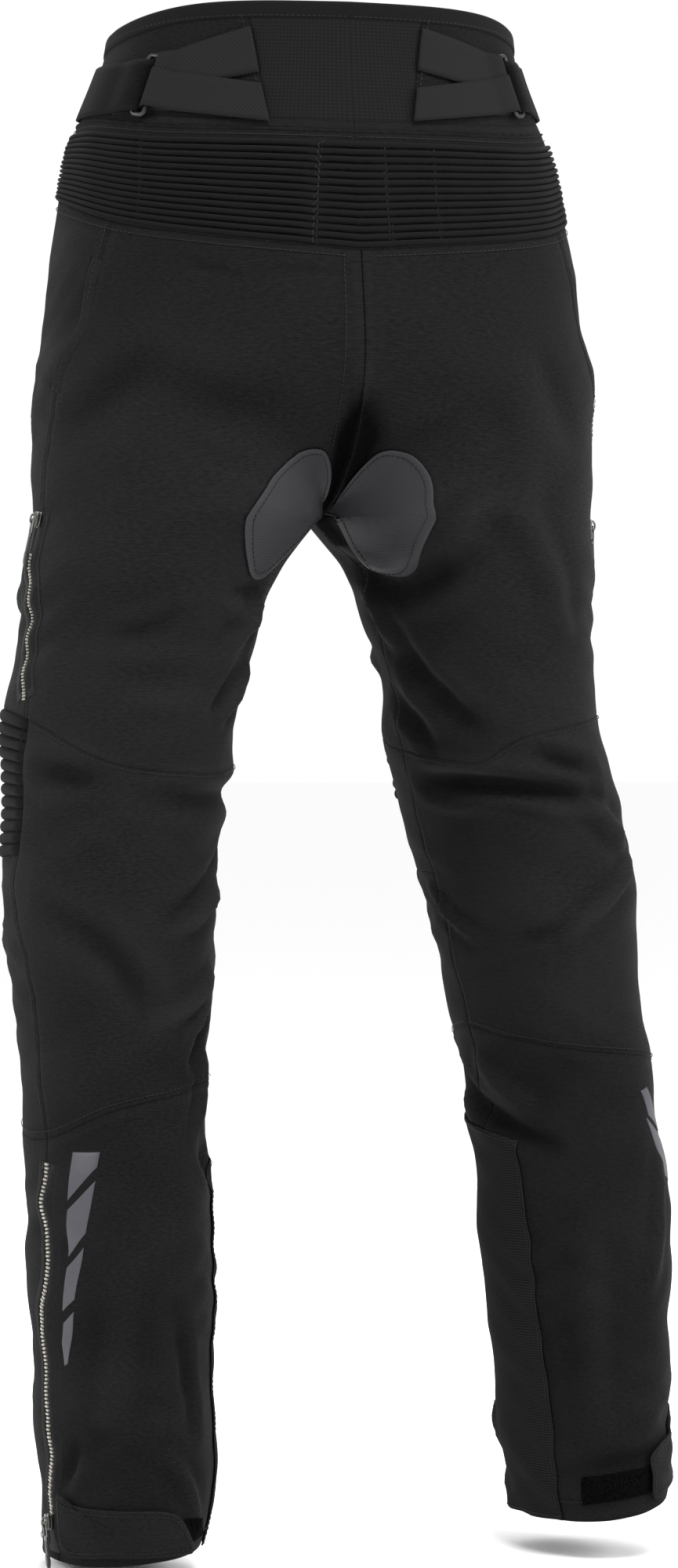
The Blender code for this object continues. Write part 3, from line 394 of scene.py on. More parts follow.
def seam_roll(border, run):
    """A sewn edge dips into its seam, stands up over the turned allowance, and puckers a little along it."""
    dip = np.interp(border, (0, 0.0004, 0.0010, 0.0020, 0.0034, 0.0056, 0.0084, 0.0124),
        (-0.0007, -0.0003, -0.0001, 0, 0.00006, 0.00012, 0.00006, 0))
    pucker = np.sin(run * 2 * np.pi / 0.0115 + 2 * np.sin(run * 31))
    return dip + 0.00012 * pucker * np.exp(-(border / 0.007) ** 2) * (border > 0.001)


def seam_wear_and_shade(border):
    """Below zero down in the seam, where shade is painted into its gap; above zero where the cloth stands up and rubs
    beside it.
    """
    return 0.14 * np.exp(-((border - 0.0046) / 0.0022) ** 2) - 0.42 * np.exp(-(border / 0.00055) ** 2)


def cleft_shade(side, share, height):
    """Painted shade: below zero where the seat folds in deep towards the crotch, most of all right of the seam."""
    deep = np.clip((-0.212 - height) / 0.036, 0, 1)
    reach = (0.006 + 0.014 * deep) if side == "right" else (0.002 + 0.006 * deep)
    return -np.where(height > CROTCH - 0.02, deep * np.exp(-(np.abs(share) * CREASE_GIRTH / reach) ** 2), 0)


def make_piece(name, points, faces, uv, wear_and_painted_light, finish):
    """A mesh with a pattern map in metres and an attribute for wear and painted light: above 0 lighter, with wear or
    painted light, below 0 darker, with shade painted into seams, creases and clefts.
    """
    mesh = bpy.data.meshes.new(name)
    mesh.from_pydata(np.asarray(points).reshape(-1, 3).tolist(), [], faces)
    layer = mesh.uv_layers.new(name="pattern")
    corners = np.zeros(len(mesh.loops), int)
    mesh.loops.foreach_get("vertex_index", corners)
    layer.data.foreach_set("uv", np.asarray(uv).reshape(-1, 2)[corners].ravel())
    mesh.attributes.new("wear_and_painted_light", "FLOAT", "POINT").data.foreach_set("value", np.asarray(wear_and_painted_light, float).ravel())
    mesh.polygons.foreach_set("use_smooth", [True] * len(mesh.polygons))
    mesh.materials.append(finish)
    thing = bpy.data.objects.new(name, mesh)
    scene.collection.objects.link(thing)
    return thing


def net_faces(rows, columns, turned):
    faces = []
    for i in range(rows - 1):
        for j in range(columns - 1):
            a = i * columns + j
            face = (a, a + 1, a + columns + 1, a + columns)
            faces.append(face[::-1] if turned else face)
    return faces


def thickened(thing, thick):
    """Gives a sheet its thickness, inwards from the outer face."""
    wall = thing.modifiers.new("cloth_thickness", "SOLIDIFY")
    wall.thickness, wall.offset, wall.use_rim = thick, -1, True
    return thing


def dressed(thing, slot, *nodes):
    """The piece goes on the body, in place of these parts of the frame. The slot is not used."""
    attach(thing, ROOT)
    if nodes:
        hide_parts(*nodes)
    return thing


LEAST_FLAT, LEAST_FILL = 0.0101, 0.31  # least flat size stated, in metres, and least share of it that is cloth


def cut_of(thing):
    """Gives the piece back unchanged."""
    return thing


def panel_net(side, columns, rows, runs_on):
    """The net of one panel, rolled in at its seams, with its pattern map and its value of wear and painted light:
    wear at the seam edges, shade painted into seam gaps, crease troughs and the seat cleft, and light painted on
    crease ridges and from the seat to the knees.
    """
    share, height = to_share_height(side, *np.meshgrid(columns, rows))
    border = to_border(plain_point(side, share, height), runs_on)
    shade = cleft_shade(side, share, height)
    roll = seam_roll(border, share * GIRTH + height) * (1 + shade)
    # Painted light and shade: crease ridges lighter and troughs darker, the seat cleft far darker, and the cloth
    # lighter from the seat to the knees and darker at the waist and calves.
    folds = np.clip(crease_rise(side, share, height) / 0.016, -0.30, 0.6)
    painted_light_and_wear = folds + 1.8 * shade - 0.24 + 0.34 * np.exp(-((height + 0.42) / 0.22) ** 4)
    wear_and_painted_light = np.clip(seam_wear_and_shade(border) * (1 + shade) + painted_light_and_wear, -1, 1)
    return surface(side, share, height, roll)[0], np.stack([share * GIRTH, height], axis=-1), wear_and_painted_light


def sewn_panel(name, side, first, last, top, under):
    """A panel of the main cloth between two columns and two rows of the pattern."""
    steps = np.linspace(0, 1, 9)
    wide, tall = (
        np.linalg.norm(np.diff(plain_point(side, *to_share_height(side, column, row)), axis=0), axis=-1).sum()
        for column, row in ((first + (last - first) * steps, (top + under) / 2),
                            ((first + last) / 2, top + (under - top) * np.clip(steps, 0.001, 0.999)))
    )
    rows = net_lines(top, under, tall)
    if top < 4 < under:
        under_crotch = 4 - (1 - np.sin(np.linspace(0.05, math.pi / 2, 40))) * 0.63
        rows = np.concatenate([rows[rows <= 3.38], under_crotch, rows[rows > 4.006]])
    points, uv, wear_and_painted_light = panel_net(side, net_lines(first, last, wide), rows, under == 2)
    faces = net_faces(*points.shape[:2], side == "right")
    thing = make_piece(name + "_cloth_" + side, points, faces, uv, wear_and_painted_light, softshell)
    cut_of(dressed(thickened(thing, CLOTH), "softshell", name + "_" + side))


def maths(tree, operation, *values):
    return add(tree, "Math", dict(enumerate(values)), operation=operation)


def noise(tree, place, scale, detail=2.0, roughness=0.5):
    return add(tree, "TexNoise", {"Vector": place, "Scale": scale, "Detail": detail, "Roughness": roughness})


def ranged(tree, value, low=0.0, high=1.0, to_low=0.0, to_high=1.0):
    """A value between low and high is moved to lie between two others."""
    given = {"Value": value, "From Min": low, "From Max": high, "To Min": to_low, "To Max": to_high}
    return add(tree, "MapRange", given)


def ripple(tree, value, pitch):
    """A sine along the cloth at this pitch, in metres."""
    return maths(tree, "SINE", maths(tree, "MULTIPLY", value, 2 * math.pi / pitch))


def bumped(shader, height, strength, distance):
    relief = add(shader.id_data, "Bump", {"Height": height, "Strength": strength, "Distance": distance})
    feed(shader, "Normal", relief)


# Softshell is polyester twill bonded to a membrane. Its ribs run at 0.6 mm; they are drawn at
# 1.3 mm so that they show, with slubs along the weft. The face is matt, with a soft bloom of
# fibre ends towards the edges of each form. It greys with wear at seams and hems, and its wear value
# also carries painted light and shade: lighter on crease ridges and from the seat to the knees,
# near black in seam gaps, crease troughs and the seat cleft.
softshell, tree, shader, place = new_finish("softshell_twill_black", "#141415", 0.80, specular_ior_level=0.04,
    sheen_weight=0.03, sheen_roughness=0.35)
part = add(tree, "SeparateXYZ", {0: place})
slant = maths(tree, "ADD", part.outputs[0], part.outputs[1])
ribs = ripple(tree, slant, 0.0013)
weft = ripple(tree, part.outputs[1], 0.0017)
stretch = add(tree, "Mapping", {"Vector": place, "Rotation": (0.0, 0.0, 0.5), "Scale": (0.4, 1.0, 1.0)})
slubs = noise(tree, stretch, 620.0, detail=3.0, roughness=0.65)
twill = maths(tree, "MULTIPLY", ribs, 0.45)
thread = maths(tree, "MULTIPLY_ADD", weft, 0.22, twill)
height = maths(tree, "MULTIPLY_ADD", slubs, 4.2, thread)
level = ranged(tree, height, low=0.5, high=3.7)
woven = mixed(tree, level, "#040405", "#1D1D1E")
faded = noise(tree, place, 14.0, detail=3.0)
patchy = mixed(tree, ranged(tree, faded, low=0.35, high=0.7, to_high=0.3), woven, "#1B1B1C")
painted_light_and_wear = add(tree, "Attribute", attribute_name="wear_and_painted_light")
# Above zero the colour greys: wear at seams and edges, painted highlight on ridges and painted light from the seat to
# the knees. Below zero it goes towards near black as painted shade.
amount = ranged(tree, painted_light_and_wear.outputs["Fac"], to_high=0.4)
greyed_and_lit = mixed(tree, amount, patchy, "#2A2A2B")
painted_shade = ranged(tree, painted_light_and_wear.outputs["Fac"], low=-1.0, high=0.0, to_low=0.8, to_high=0.0)
colour = mixed(tree, painted_shade, greyed_and_lit, "#020202")
bumped(shader, height, 0.8, 0.00016)
dull = ranged(tree, faded, to_low=0.76, to_high=0.9)
feed(shader, "Base Color", colour)
feed(shader, "Roughness", dull)
# Where the painted shade is deep the gloss is taken away too, so those places give no reflection.
feed(shader, "Specular IOR Level", ranged(tree, painted_light_and_wear.outputs["Fac"], low=-0.9, high=-0.1, to_high=0.04))

for side in SIDES:
    for name, first, last, top, under in (
        ("waist_facing", 0, 2, 1, 2), ("front_yoke", 1.423, 2, 2, 3), ("seat_and_thigh", 0, 1, 3, 5),
        ("front_and_thigh", 1, 2, 3, 5), ("knee_inside", 1.783, 2, 5, 6), ("calf_back", 0, 1, 5, 7),
        ("shin", 1, 2, 6, 7), ("calf_lower", 0, 1, 7, 8), ("shin_lower", 1, 2, 7, 8),
    ):
        sewn_panel(name, side, first, last, top, under)

# Waistband. Each side is one folded layer of the main cloth with the slot of the belt straps over it.
# The middle of the back is a stiffer panel in a small raised grid, cut as a wedge and left plain.
BAND_CLOTH = 0.0024
BACK_PANEL = {"left": (0.490, 0.318), "right": (0.358, 0.216)}


def slanted_net(side, start, end, rows, count):
    """A net between two edges of the waistband. Each edge is given by its column in the top row and in the lowest."""
    column, row = [], []
    for value, share in zip(rows, (rows - rows[0]) / (rows[-1] - rows[0])):
        a, b = (edge[0] + (edge[1] - edge[0]) * share for edge in (start, end))
        column.append(net_lines(a, b, count * 0.0045))
        row.append(np.full(len(column[0]), value))
    return to_share_height(side, np.array(column), np.array(row))


grid_fabric, tree, shader, place = new_finish("grid_fabric_black", "#131314", 0.8, specular_ior_level=0.08,
    sheen_weight=0.02, sheen_roughness=0.4)
# A polyester mesh backed with foam: cells of 2.4 mm stand up between thin sunk lines, so it looks
# like fine graph paper in black, a little smoother and harder than the softshell.
cells = []
part = add(tree, "SeparateXYZ", {0: place})
for axis in (0, 1):
    turned = maths(tree, "MULTIPLY", part.outputs[axis], math.pi / 0.0024)
    wave = maths(tree, "ABSOLUTE", maths(tree, "SINE", turned))
    cells.append(maths(tree, "POWER", wave, 0.35))
cell = maths(tree, "MULTIPLY", cells[0], cells[1])
fuzz = noise(tree, place, 1500.0, detail=1.0)
raised = maths(tree, "MULTIPLY_ADD", fuzz, 0.25, cell)
tinted(shader, cell, "#050506", "#111112")
bumped(shader, raised, 0.7, 0.0003)

band_rows = net_lines(0, 1, 0.080)
halves = []
for side, ends in BACK_PANEL.items():
    share, height = slanted_net(side, (0, 0), ends, band_rows, 24)
    share[:, 0] = 0
    border = to_border(plain_point(side, share, height), True)
    points, _ = surface(side, share, height,
        np.interp(border, (0, 0.0004, 0.0010, 0.0024, 0.005), (-0.0012, -0.0006, -0.0001, 0.0002, 0.0001)))
    points[:, 0, 0] = 0
    half = (points, np.stack([share * GIRTH * SIDES[side], height], axis=-1), np.exp(-(border / 0.003) ** 2))
    halves.append(tuple(v[:, :0:-1] if side == "right" else v for v in half))
points, uv, wear_and_painted_light = (np.concatenate(pair, axis=1)
    for pair in zip(*sorted(halves, key=lambda half: half[0][0, 0, 0] > -0.001)))
thing = make_piece("waistband_back_cloth", points, net_faces(*points.shape[:2], False), uv, wear_and_painted_light, grid_fabric)
cut_of(dressed(thickened(thing, BAND_CLOTH), "grid_fabric", "waistband_back"))
for side, ends in BACK_PANEL.items():
    share, height = slanted_net(side, ends, (2, 2), band_rows, 88)
    border = to_border(plain_point(side, share, height))
    points, _ = surface(side, share, height, seam_roll(border, share * GIRTH))
    # The band's value is lowered a little all over, so it is painted darker, as the waist and calves of the panels
    # are.
    thing = make_piece("waistband_cloth_" + side, points, net_faces(*points.shape[:2], side == "right"),
        np.stack([share * GIRTH, height], axis=-1), seam_wear_and_shade(border) - 0.24, softshell)
    cut_of(dressed(thickened(thing, BAND_CLOTH), "softshell", "waistband_" + side))

# Rim binding. A strip of brushed tricot folded over the raw edge of the waistband, 11 mm deep
# outside and inside, stitched through. It is soft, so it has no sharp edge, and it catches no light.
binding, tree, shader, place = new_finish("brushed_tricot_black", "#0D0C0D", 0.95, specular_ior_level=0.06,
    sheen_weight=0.02, sheen_roughness=0.6)
combed = add(tree, "Mapping", {"Vector": place, "Scale": (1.0, 0.3, 1.0)})
nap = noise(tree, combed, 1300.0)
tinted(shader, nap, "#070607", "#121112")
bumped(shader, nap, 0.6, 0.0003)
BINDING_TURN = counted((
    # below the rim, out of the band's outer face
    (112, 1), (108, 7), (96, 10), (60, 11), (22, 11), (6, 8), (-6, -2),
    (-9, -12), (-6, -24), (8, -34), (30, -37), (70, -37), (104, -34), (110, -27),
))


def ring_faces(rings, count, closed=False):
    """Faces between rings of points, and from the last ring to the first where it is closed."""
    faces = []
    for i in range(rings if closed else rings - 1):
        at, to = i * count, (i + 1) % rings * count
        faces += [(at + j, at + (j + 1) % count, to + (j + 1) % count, to + j) for j in range(count)]
    return faces


loop = []
for side in ("left", "right"):
    columns = np.linspace(0, 2, 121)[:-1] if side == "left" else np.linspace(2, 0, 121)[:-1]
    share, height = to_share_height(side, columns, 0 * columns)
    loop.append(np.stack([surface(side, share, height - drop, lift + 0 * share)[0] for drop, lift in BINDING_TURN]))
points = np.concatenate(loop, axis=1)
count = points.shape[1]
faces = [(a, d, c, b) for a, b, c, d in ring_faces(len(BINDING_TURN), count, True)]
run = np.linspace(0, 0.80, count)
uv = np.stack(np.broadcast_arrays(run[None, :], np.array(BINDING_TURN)[:, :1]), axis=-1)
thing = make_piece("rim_binding", points, faces, uv, np.zeros(uv.shape[:2]), binding)
dressed(thing, "softshell")

# Stretch yoke and knee panels. Knitted stretch cloth is caught down in rows over a flat lining, so it
# stands in rounded ribs: fourteen round the back yoke, twelve over each knee. Rows of zig-zag tacks
# pin the yoke's ribs at the middle and sides, and the ribs sink into the seams at their ends.
YOKE_RIBS, KNEE_RIBS, RIB_RISE = 14, 12, 0.0027
YOKE_TACKS = counted({
    # share at the yoke's top and at its lowest row, half width, depth
    "left": ((360, 460, 30, 7500), (2890, 2810, 22, 3500)),
    "right": ((280, 300, 22, 3500), (920, 880, 22, 3500)),
})


def new_group(name, output, **kinds):
    """A geometry tree with named inputs. Gives the tree, the node of its inputs, and each input's key."""
    tree = bpy.data.node_groups.new(name, "GeometryNodeTree")
    keys = {label: tree.interface.new_socket(label, in_out="INPUT", socket_type="NodeSocket" + kind).identifier
        for label, kind in kinds.items()}
    tree.interface.new_socket(output, in_out="OUTPUT", socket_type="NodeSocketGeometry")
    return tree, add(tree, "NodeGroupInput"), keys


def grown(thing, tree, given, keys, last, **values):
    """Ends the tree, runs it on the piece with these values, and keeps the mesh that it gives."""
    real = add(tree, "GeometryNodeRealizeInstances", {"Geometry": last})
    coated = add(tree, "GeometryNodeSetMaterial", {"Geometry": real, "Material": given.outputs["Finish"]})
    add(tree, "NodeGroupOutput", {0: coated})
    use = thing.modifiers.new(tree.name, "NODES")
    use.node_group = tree
    for label, value in values.items():
        use[keys[label]] = value
    bpy.context.view_layer.update()
    shaped = bpy.data.meshes.new_from_object(thing.evaluated_get(bpy.context.evaluated_depsgraph_get()))
    thing.modifiers.clear()
    thing.data = shaped
    return thing


def ribbed(thing, rise, finish):
    """Raises the ribs by a tree that reads each point's place in the row of ribs and how far it is pinned down."""
    tree, given, keys = new_group("ribs_of_" + thing.name, "Cloth", Cloth="Geometry", Height="Float",
        Roundness="Float", Finish="Material")
    place, pinned = (add(tree, "GeometryNodeInputNamedAttribute", {"Name": name}, data_type="FLOAT")
        for name in ("rib", "pinned"))
    wave = maths(tree, "ABSOLUTE", maths(tree, "SINE", maths(tree, "MULTIPLY", place, math.pi)))
    high = maths(tree, "MULTIPLY", maths(tree, "POWER", wave, given.outputs["Roundness"]),
        maths(tree, "SUBTRACT", 1.0, pinned))
    metres = maths(tree, "MULTIPLY", high, given.outputs["Height"])
    offset = add(tree, "VectorMath", {0: add(tree, "GeometryNodeInputNormal"), "Scale": metres}, operation="SCALE")
    moved = add(tree, "GeometryNodeSetPosition", {"Geometry": given.outputs["Cloth"], "Offset": offset})
    return grown(thing, tree, given, keys, moved, Height=rise, Roundness=0.55, Finish=finish)


def rib_net(side, first, last, top, under, ribs, tacks=()):
    """The net of a ribbed panel, eight rows to a rib, with each point's place in the row of ribs and its pinning."""
    rows = np.linspace(top, under, 8 * ribs + 1)
    columns = net_lines(first, last, COLUMN_WIDTH * (last - first), 0.006)
    share, height = to_share_height(side, *np.meshgrid(columns, rows))
    points, _ = surface(side, share, height)
    ends = np.minimum(np.abs(share - share[:, :1]), np.abs(share[:, -1:] - share)) * GIRTH
    if first == 0:
        ends = np.abs(share[:, -1:] - share) * GIRTH
        points[:, 0, 0] = 0
    pinned = np.exp(-(ends / 0.0025) ** 2)
    along = ((rows - top) / (under - top))[:, None]
    for start, end, width, depth in tacks:
        off = (share - (start + (end - start) * along)) * GIRTH
        pinned = np.maximum(pinned, depth * np.exp(-(off / width) ** 2))
    down = rows[:, None]
    uneven = 0.10 * np.sin(share * 61 + down * 2.3) + 0.08 * np.sin(share * 23 + (down - top) * ribs * 1.7)
    uv = np.stack([share * GIRTH * (SIDES[side] if first == 0 else 1), height], axis=-1)
    return points, uv, np.broadcast_to(along * ribs, share.shape), np.clip(pinned + uneven * (1 - pinned), -0.2, 1)


# Knitted polyamide with elastane: wales of 0.8 mm drawn at 1.1 mm, darker and duller than the twill.
rib_knit, tree, shader, place = new_finish("stretch_knit_black", "#111112", 0.86, specular_ior_level=0.04,
    sheen_weight=0.03, sheen_roughness=0.45)
part = add(tree, "SeparateXYZ", {0: place})
wales = [ripple(tree, part.outputs[axis], pitch) for axis, pitch in ((0, 0.0011), (1, 0.0009))]
knit = maths(tree, "MULTIPLY", wales[0], wales[1])
slubs = noise(tree, place, 1100.0)
height = maths(tree, "MULTIPLY_ADD", slubs, 2.0, knit)
colour = mixed(tree, ranged(tree, height, low=-0.6, high=2.6), "#060607", "#151516")
# Painted shade: the grooves between the ribs are darkened to near black, along lines made uneven by noise, and the
# rib tops keep the knit's colour.
groove_shade_jitter = noise(tree, place, 420.0)
uneven = maths(tree, "MULTIPLY_ADD", groove_shade_jitter, 0.42, add(tree, "Attribute", attribute_name="rib").outputs["Fac"])
turned = maths(tree, "MULTIPLY", maths(tree, "SUBTRACT", uneven, 0.21), math.pi)
wave = maths(tree, "ABSOLUTE", maths(tree, "SINE", turned))
tinted(shader, ranged(tree, wave, low=0.05, high=0.75), "#020202", colour)
bumped(shader, height, 0.5, 0.00015)


def rib_piece(name, node, points, uv, rib, pinned, turned):
    thing = make_piece(name, points, net_faces(*points.shape[:2], turned), uv, np.zeros(points.shape[:2]), rib_knit)
    for label, values in (("rib", rib), ("pinned", pinned)):
        values = np.ascontiguousarray(values, float).ravel()
        thing.data.attributes.new(label, "FLOAT", "POINT").data.foreach_set("value", values)
    ribbed(thing, RIB_RISE, rib_knit)
    cut_of(dressed(thickened(thing, CLOTH), "stretch_rib", node))


halves = {side: rib_net(side, 0, 1.42, 2, 3, YOKE_RIBS, YOKE_TACKS[side]) for side in SIDES}
rib_piece("stretch_yoke_cloth", "stretch_yoke",
    *(np.concatenate([r[:, :0:-1], l], axis=1) for r, l in zip(halves["right"], halves["left"])), False)
for side in SIDES:
    rib_piece("knee_stretch_cloth_" + side, "knee_stretch_" + side, *rib_net(side, 1, 1.78, 5, 6, KNEE_RIBS),
        side == "right")

# Seat patches and calf grip panels. Charcoal grip cloth, a coarse weave printed with polyurethane, is
# cut to shape, turned under and top-stitched on: one patch behind each seat bone, and one long
# panel on the inside of each calf, where the leg rubs against the engine and its guards.
GRIP_LIFT, PATCH = 0.0009, 0.0011
SEAT_PATCH = counted({
    "left": ((540, -2542), (330, -2554), (210, -2620), (130, -2716), (100, -2828), (120, -2873), (170, -2910),
        (250, -2938), (670, -2980), (850, -3030), (860, -3136), (990, -3242), (1080, -3324), (1170, -3380),
        (1350, -3420), (1510, -3430), (1630, -3404), (1760, -3322), (1920, -3218), (2070, -3110), (2150, -3012),
        (2070, -2946), (1890, -2858), (1610, -2754), (1280, -2666), (1000, -2604), (810, -2568)),
    "right": ((750, -2552), (1030, -2578), (1280, -2634), (1530, -2720), (1720, -2822), (1830, -2924),
        (1880, -3002), (1720, -3092), (1510, -3192), (1330, -3284), (1170, -3356), (1000, -3406), (850, -3420),
        (670, -3402), (540, -3352), (490, -3276), (440, -3184), (440, -3142), (510, -3060), (570, -2992),
        (330, -2964), (210, -2938), (130, -2906), (130, -2842), (190, -2746), (290, -2666), (440, -2578),
        (580, -2552)),
})
GRIP_PANEL = counted({
    "left": ((-1500, -7120), (0, -7220), (950, -7380), (1000, -8000), (1080, -9000), (1120, -9995), (-1600, -9985)),
    "right": ((-1500, -7120), (0, -7220), (700, -7290), (780, -8100), (920, -9300), (900, -9920), (-1600, -9925)),
})


def under_seat(height, back_again=False):
    """Turns height into length along the cloth where it runs forward under the seat, or back again."""
    rise = (np.asarray(height, float) - CROTCH) / SEAT_RISE
    if back_again:
        return np.where(rise <= 0, height, CROTCH + SEAT_RISE * (1 - np.cos(np.clip(rise, 0, math.pi / 2)))
            + np.maximum(rise - math.pi / 2, 0) * SEAT_RISE)
    round_under = np.arccos(1 - np.clip(rise, 0, 1)) + np.maximum(rise - 1, 0)
    return np.where(rise <= 0, height, CROTCH + SEAT_RISE * round_under)


def run_along(points):
    """Metres along a line to each of its points."""
    return np.insert(np.cumsum(np.linalg.norm(np.diff(points, axis=0), axis=1)), 0, 0)


def resampled(outline, spacing, soft):
    """Points at even spacing round a closed outline of share and height. A soft outline has rounded corners."""
    ring = np.array(outline, float) * (GIRTH, 1)
    if soft:
        smooth = []
        for i in range(len(ring)):
            p0, p1, p2, p3 = (ring[(i + k) % len(ring)] for k in (-1, 0, 1, 2))
            for t in np.linspace(0, 1, 48, endpoint=False):
                smooth.append(0.5 * (2 * p1 + (p2 - p0) * t + (2 * p0 - 5 * p1 + 4 * p2 - p3) * t * t
                    + (3 * p1 - p0 - 3 * p2 + p3) * t ** 3))
        ring = np.array(smooth)
    ring[:, 1] = under_seat(ring[:, 1])
    closed = np.concatenate([ring, ring[:1]])
    run = run_along(closed)
    at = np.linspace(0, run[-1], max(16, round(run[-1] / spacing)), endpoint=False)
    if not soft:
        corners = run[:-1]
        at = np.array([min(corners, key=lambda c: abs(c - v)) if min(abs(corners - v)) < (at[1] - at[0]) * 0.5 else v
            for v in at])
    return np.stack([np.interp(at, run, closed[:, k]) for k in (0, 1)], axis=1)


def laid_piece(name, side, outline, lift, thick, finish, slot, nodes, soft=False, spacing=0.0035, rise=None,
        painted_light=None):
    """A flat piece on the cloth: rings from its rounded edge to its middle, lifted off the panel under it."""
    ring = resampled(outline, spacing, soft)
    drawn = np.sum(ring[:, 0] * np.roll(ring[:, 1], -1) - np.roll(ring[:, 0], -1) * ring[:, 1]) / 2
    if (drawn > 0) == (side == "left"):
        ring = ring[::-1]
    centre = ring.mean(axis=0)
    reach = np.linalg.norm(ring - centre, axis=1).mean()
    inner = np.linspace(1 - 0.0030 / reach, 0.02, max(3, round(reach / 0.0045)))
    scales = np.concatenate([1 - np.array((0, 0.0004, 0.0011)) / reach, inner])
    round_off = np.concatenate([(-0.00045, -0.00012, 0), np.zeros(len(inner))])
    flat = centre + (ring - centre)[None] * scales[:, None, None]
    share, height = flat[..., 0] / GIRTH, under_seat(flat[..., 1], True)
    up = lift + thick + round_off[:, None] + (rise(share, height) if rise else 0)
    points, _ = surface(side, share, height, up + 0 * share)
    rows, count = points.shape[:2]
    faces = ring_faces(rows, count)
    faces.append(tuple((rows - 1) * count + j for j in range(count)))
    # Edges are lighter with wear; any painted light given is added on top.
    wear_and_painted_light = 0.4 * np.exp(-((1 - scales) * reach / 0.0015) ** 2)[:, None] + (painted_light(share, height) if painted_light else 0 * share)
    thing = make_piece(name + "_" + side, points, faces, flat, wear_and_painted_light, finish)
    dressed(thickened(thing, thick), slot, *nodes)
    turned = np.roll(points, -1, axis=1)
    triangles = (points[:-1], points[1:], turned[1:]), (points[:-1], turned[1:], turned[:-1])
    real = sum(np.linalg.norm(np.cross(b - a, c - a), axis=-1).sum() / 2 for a, b, c in triangles)
    size = (ring.max(axis=0) - ring.min(axis=0)) * math.sqrt(real / abs(drawn))
    flat = max(size[0], LEAST_FLAT), max(size[1], LEAST_FLAT)
    return ring


# The print sits on threads of 0.7 mm, drawn at 1.5 mm as a net of dots, and gives the patches a
# satin grey sheen that the cloth round them lacks.
grip_cloth, tree, shader, place = new_finish("printed_grip_cloth_charcoal", "#242426", 0.5, specular_ior_level=0.12)
part = add(tree, "SeparateXYZ", {0: place})
waves = []
for sense in ("ADD", "SUBTRACT"):
    slant = maths(tree, sense, part.outputs[0], part.outputs[1])
    waves.append(ripple(tree, slant, 0.0021))
dots = maths(tree, "MULTIPLY", waves[0], waves[1])
speck = noise(tree, place, 1200.0, detail=1.0)
height = maths(tree, "MULTIPLY_ADD", speck, 0.8, dots)
colour = mixed(tree, ranged(tree, height, low=-0.7, high=1.5), "#08080A", "#343437")
painted_light_and_wear = add(tree, "Attribute", attribute_name="wear_and_painted_light")
# The value greys the patch edges with wear and lightens the seat patches by the crotch as painted light.
edge = mixed(tree, maths(tree, "MULTIPLY", painted_light_and_wear.outputs["Fac"], 0.35), colour, "#444447")
feed(shader, "Base Color", edge)
bumped(shader, height, 0.5, 0.00016)
calf_grip = grip_cloth.copy()
calf_grip.name = "woven_grip_cloth_black"
for made in calf_grip.node_tree.nodes:
    if made.bl_idname == "ShaderNodeMixRGB":
        darker = ("#020203", "#242425") if not made.inputs[1].is_linked else (None, "#2A2A2B")
        for k, code in zip((1, 2), darker):
            if code:
                made.inputs[k].default_value = linear(code)
    if made.bl_idname == "ShaderNodeBsdfPrincipled":
        made.inputs["Roughness"].default_value = 0.8
        made.inputs["Specular IOR Level"].default_value = 0.02
    if made.bl_idname == "ShaderNodeMath" and made.inputs[1].default_value > 1000:
        made.inputs[1].default_value = 2 * math.pi / 0.0036

STITCHED = []
for side in SIDES:
    # Painted light: each seat patch is lightened near its inner edge just above the crotch, over the shade that falls
    # there.
    seat_patch_painted_light = lambda share, height: (1.9 * np.exp(-((share - 0.02) / 0.07) ** 2 - ((height + 0.292) / 0.017) ** 2)
        * np.clip((height - CROTCH + 0.001) / 0.003, 0, 1))
    ring = laid_piece("seat_patch_cloth", side, SEAT_PATCH[side], GRIP_LIFT, PATCH, grip_cloth, "grip_cloth",
        ["seat_patch_" + side], soft=True, painted_light=seat_patch_painted_light)
    STITCHED.append((side, ring, 0.0042))
    ring = laid_piece("calf_grip_cloth", side, GRIP_PANEL[side], GRIP_LIFT, PATCH, calf_grip, "grip_cloth",
        ["calf_grip_" + side])
    STITCHED.append((side, ring, 0.0026))

# Calf prints. Four slanted bars in silver reflective film are pressed onto the outside of each calf,
# thin, smooth and flat grey in plain light.
REFLECTIVE = counted({
    "left": (
        ((4080, -7290), (3530, -7280), (3580, -7380), (4170, -7620)),
        ((3610, -7470), (3810, -7830), (4220, -8000), (4170, -7680)),
        ((3860, -7920), (4080, -8280), (4360, -8370), (4240, -8070)),
        ((4110, -8360), (4280, -8720), (4370, -8740), (4420, -8590), (4370, -8450)),
    ),
    "right": (
        ((3220, -6940), (3450, -6920), (4030, -7240), (3400, -7110)),
        ((3280, -7120), (4000, -7300), (4400, -7620), (3780, -7540), (3500, -7380)),
    ),
})
film, tree, shader, place = new_finish("reflective_film_grey", "#55545A", 0.45, specular_ior_level=0.3)
beads = noise(tree, place, 1600.0)
# Glass beads far below a pixel in size, drawn as a grain of 0.6 mm.
tinted(shader, beads, "#2C2B30", "#3B3A40")
bumped(shader, beads, 0.15, 0.0001)
for side, bars in REFLECTIVE.items():
    for count, bar in enumerate(bars, 1):
        laid_piece("calf_print_%d" % count, side, bar, 0.00035, 0.0002, film, "softshell", [], spacing=0.0025)

# Sewing thread. Black polyester, in stitches of 3 mm, runs beside the seams, round the patches and
# above the hems, in a single row that follows each seam at a few millimetres. Each stitch is a
# short arched bar of thread laid end to end with the next.


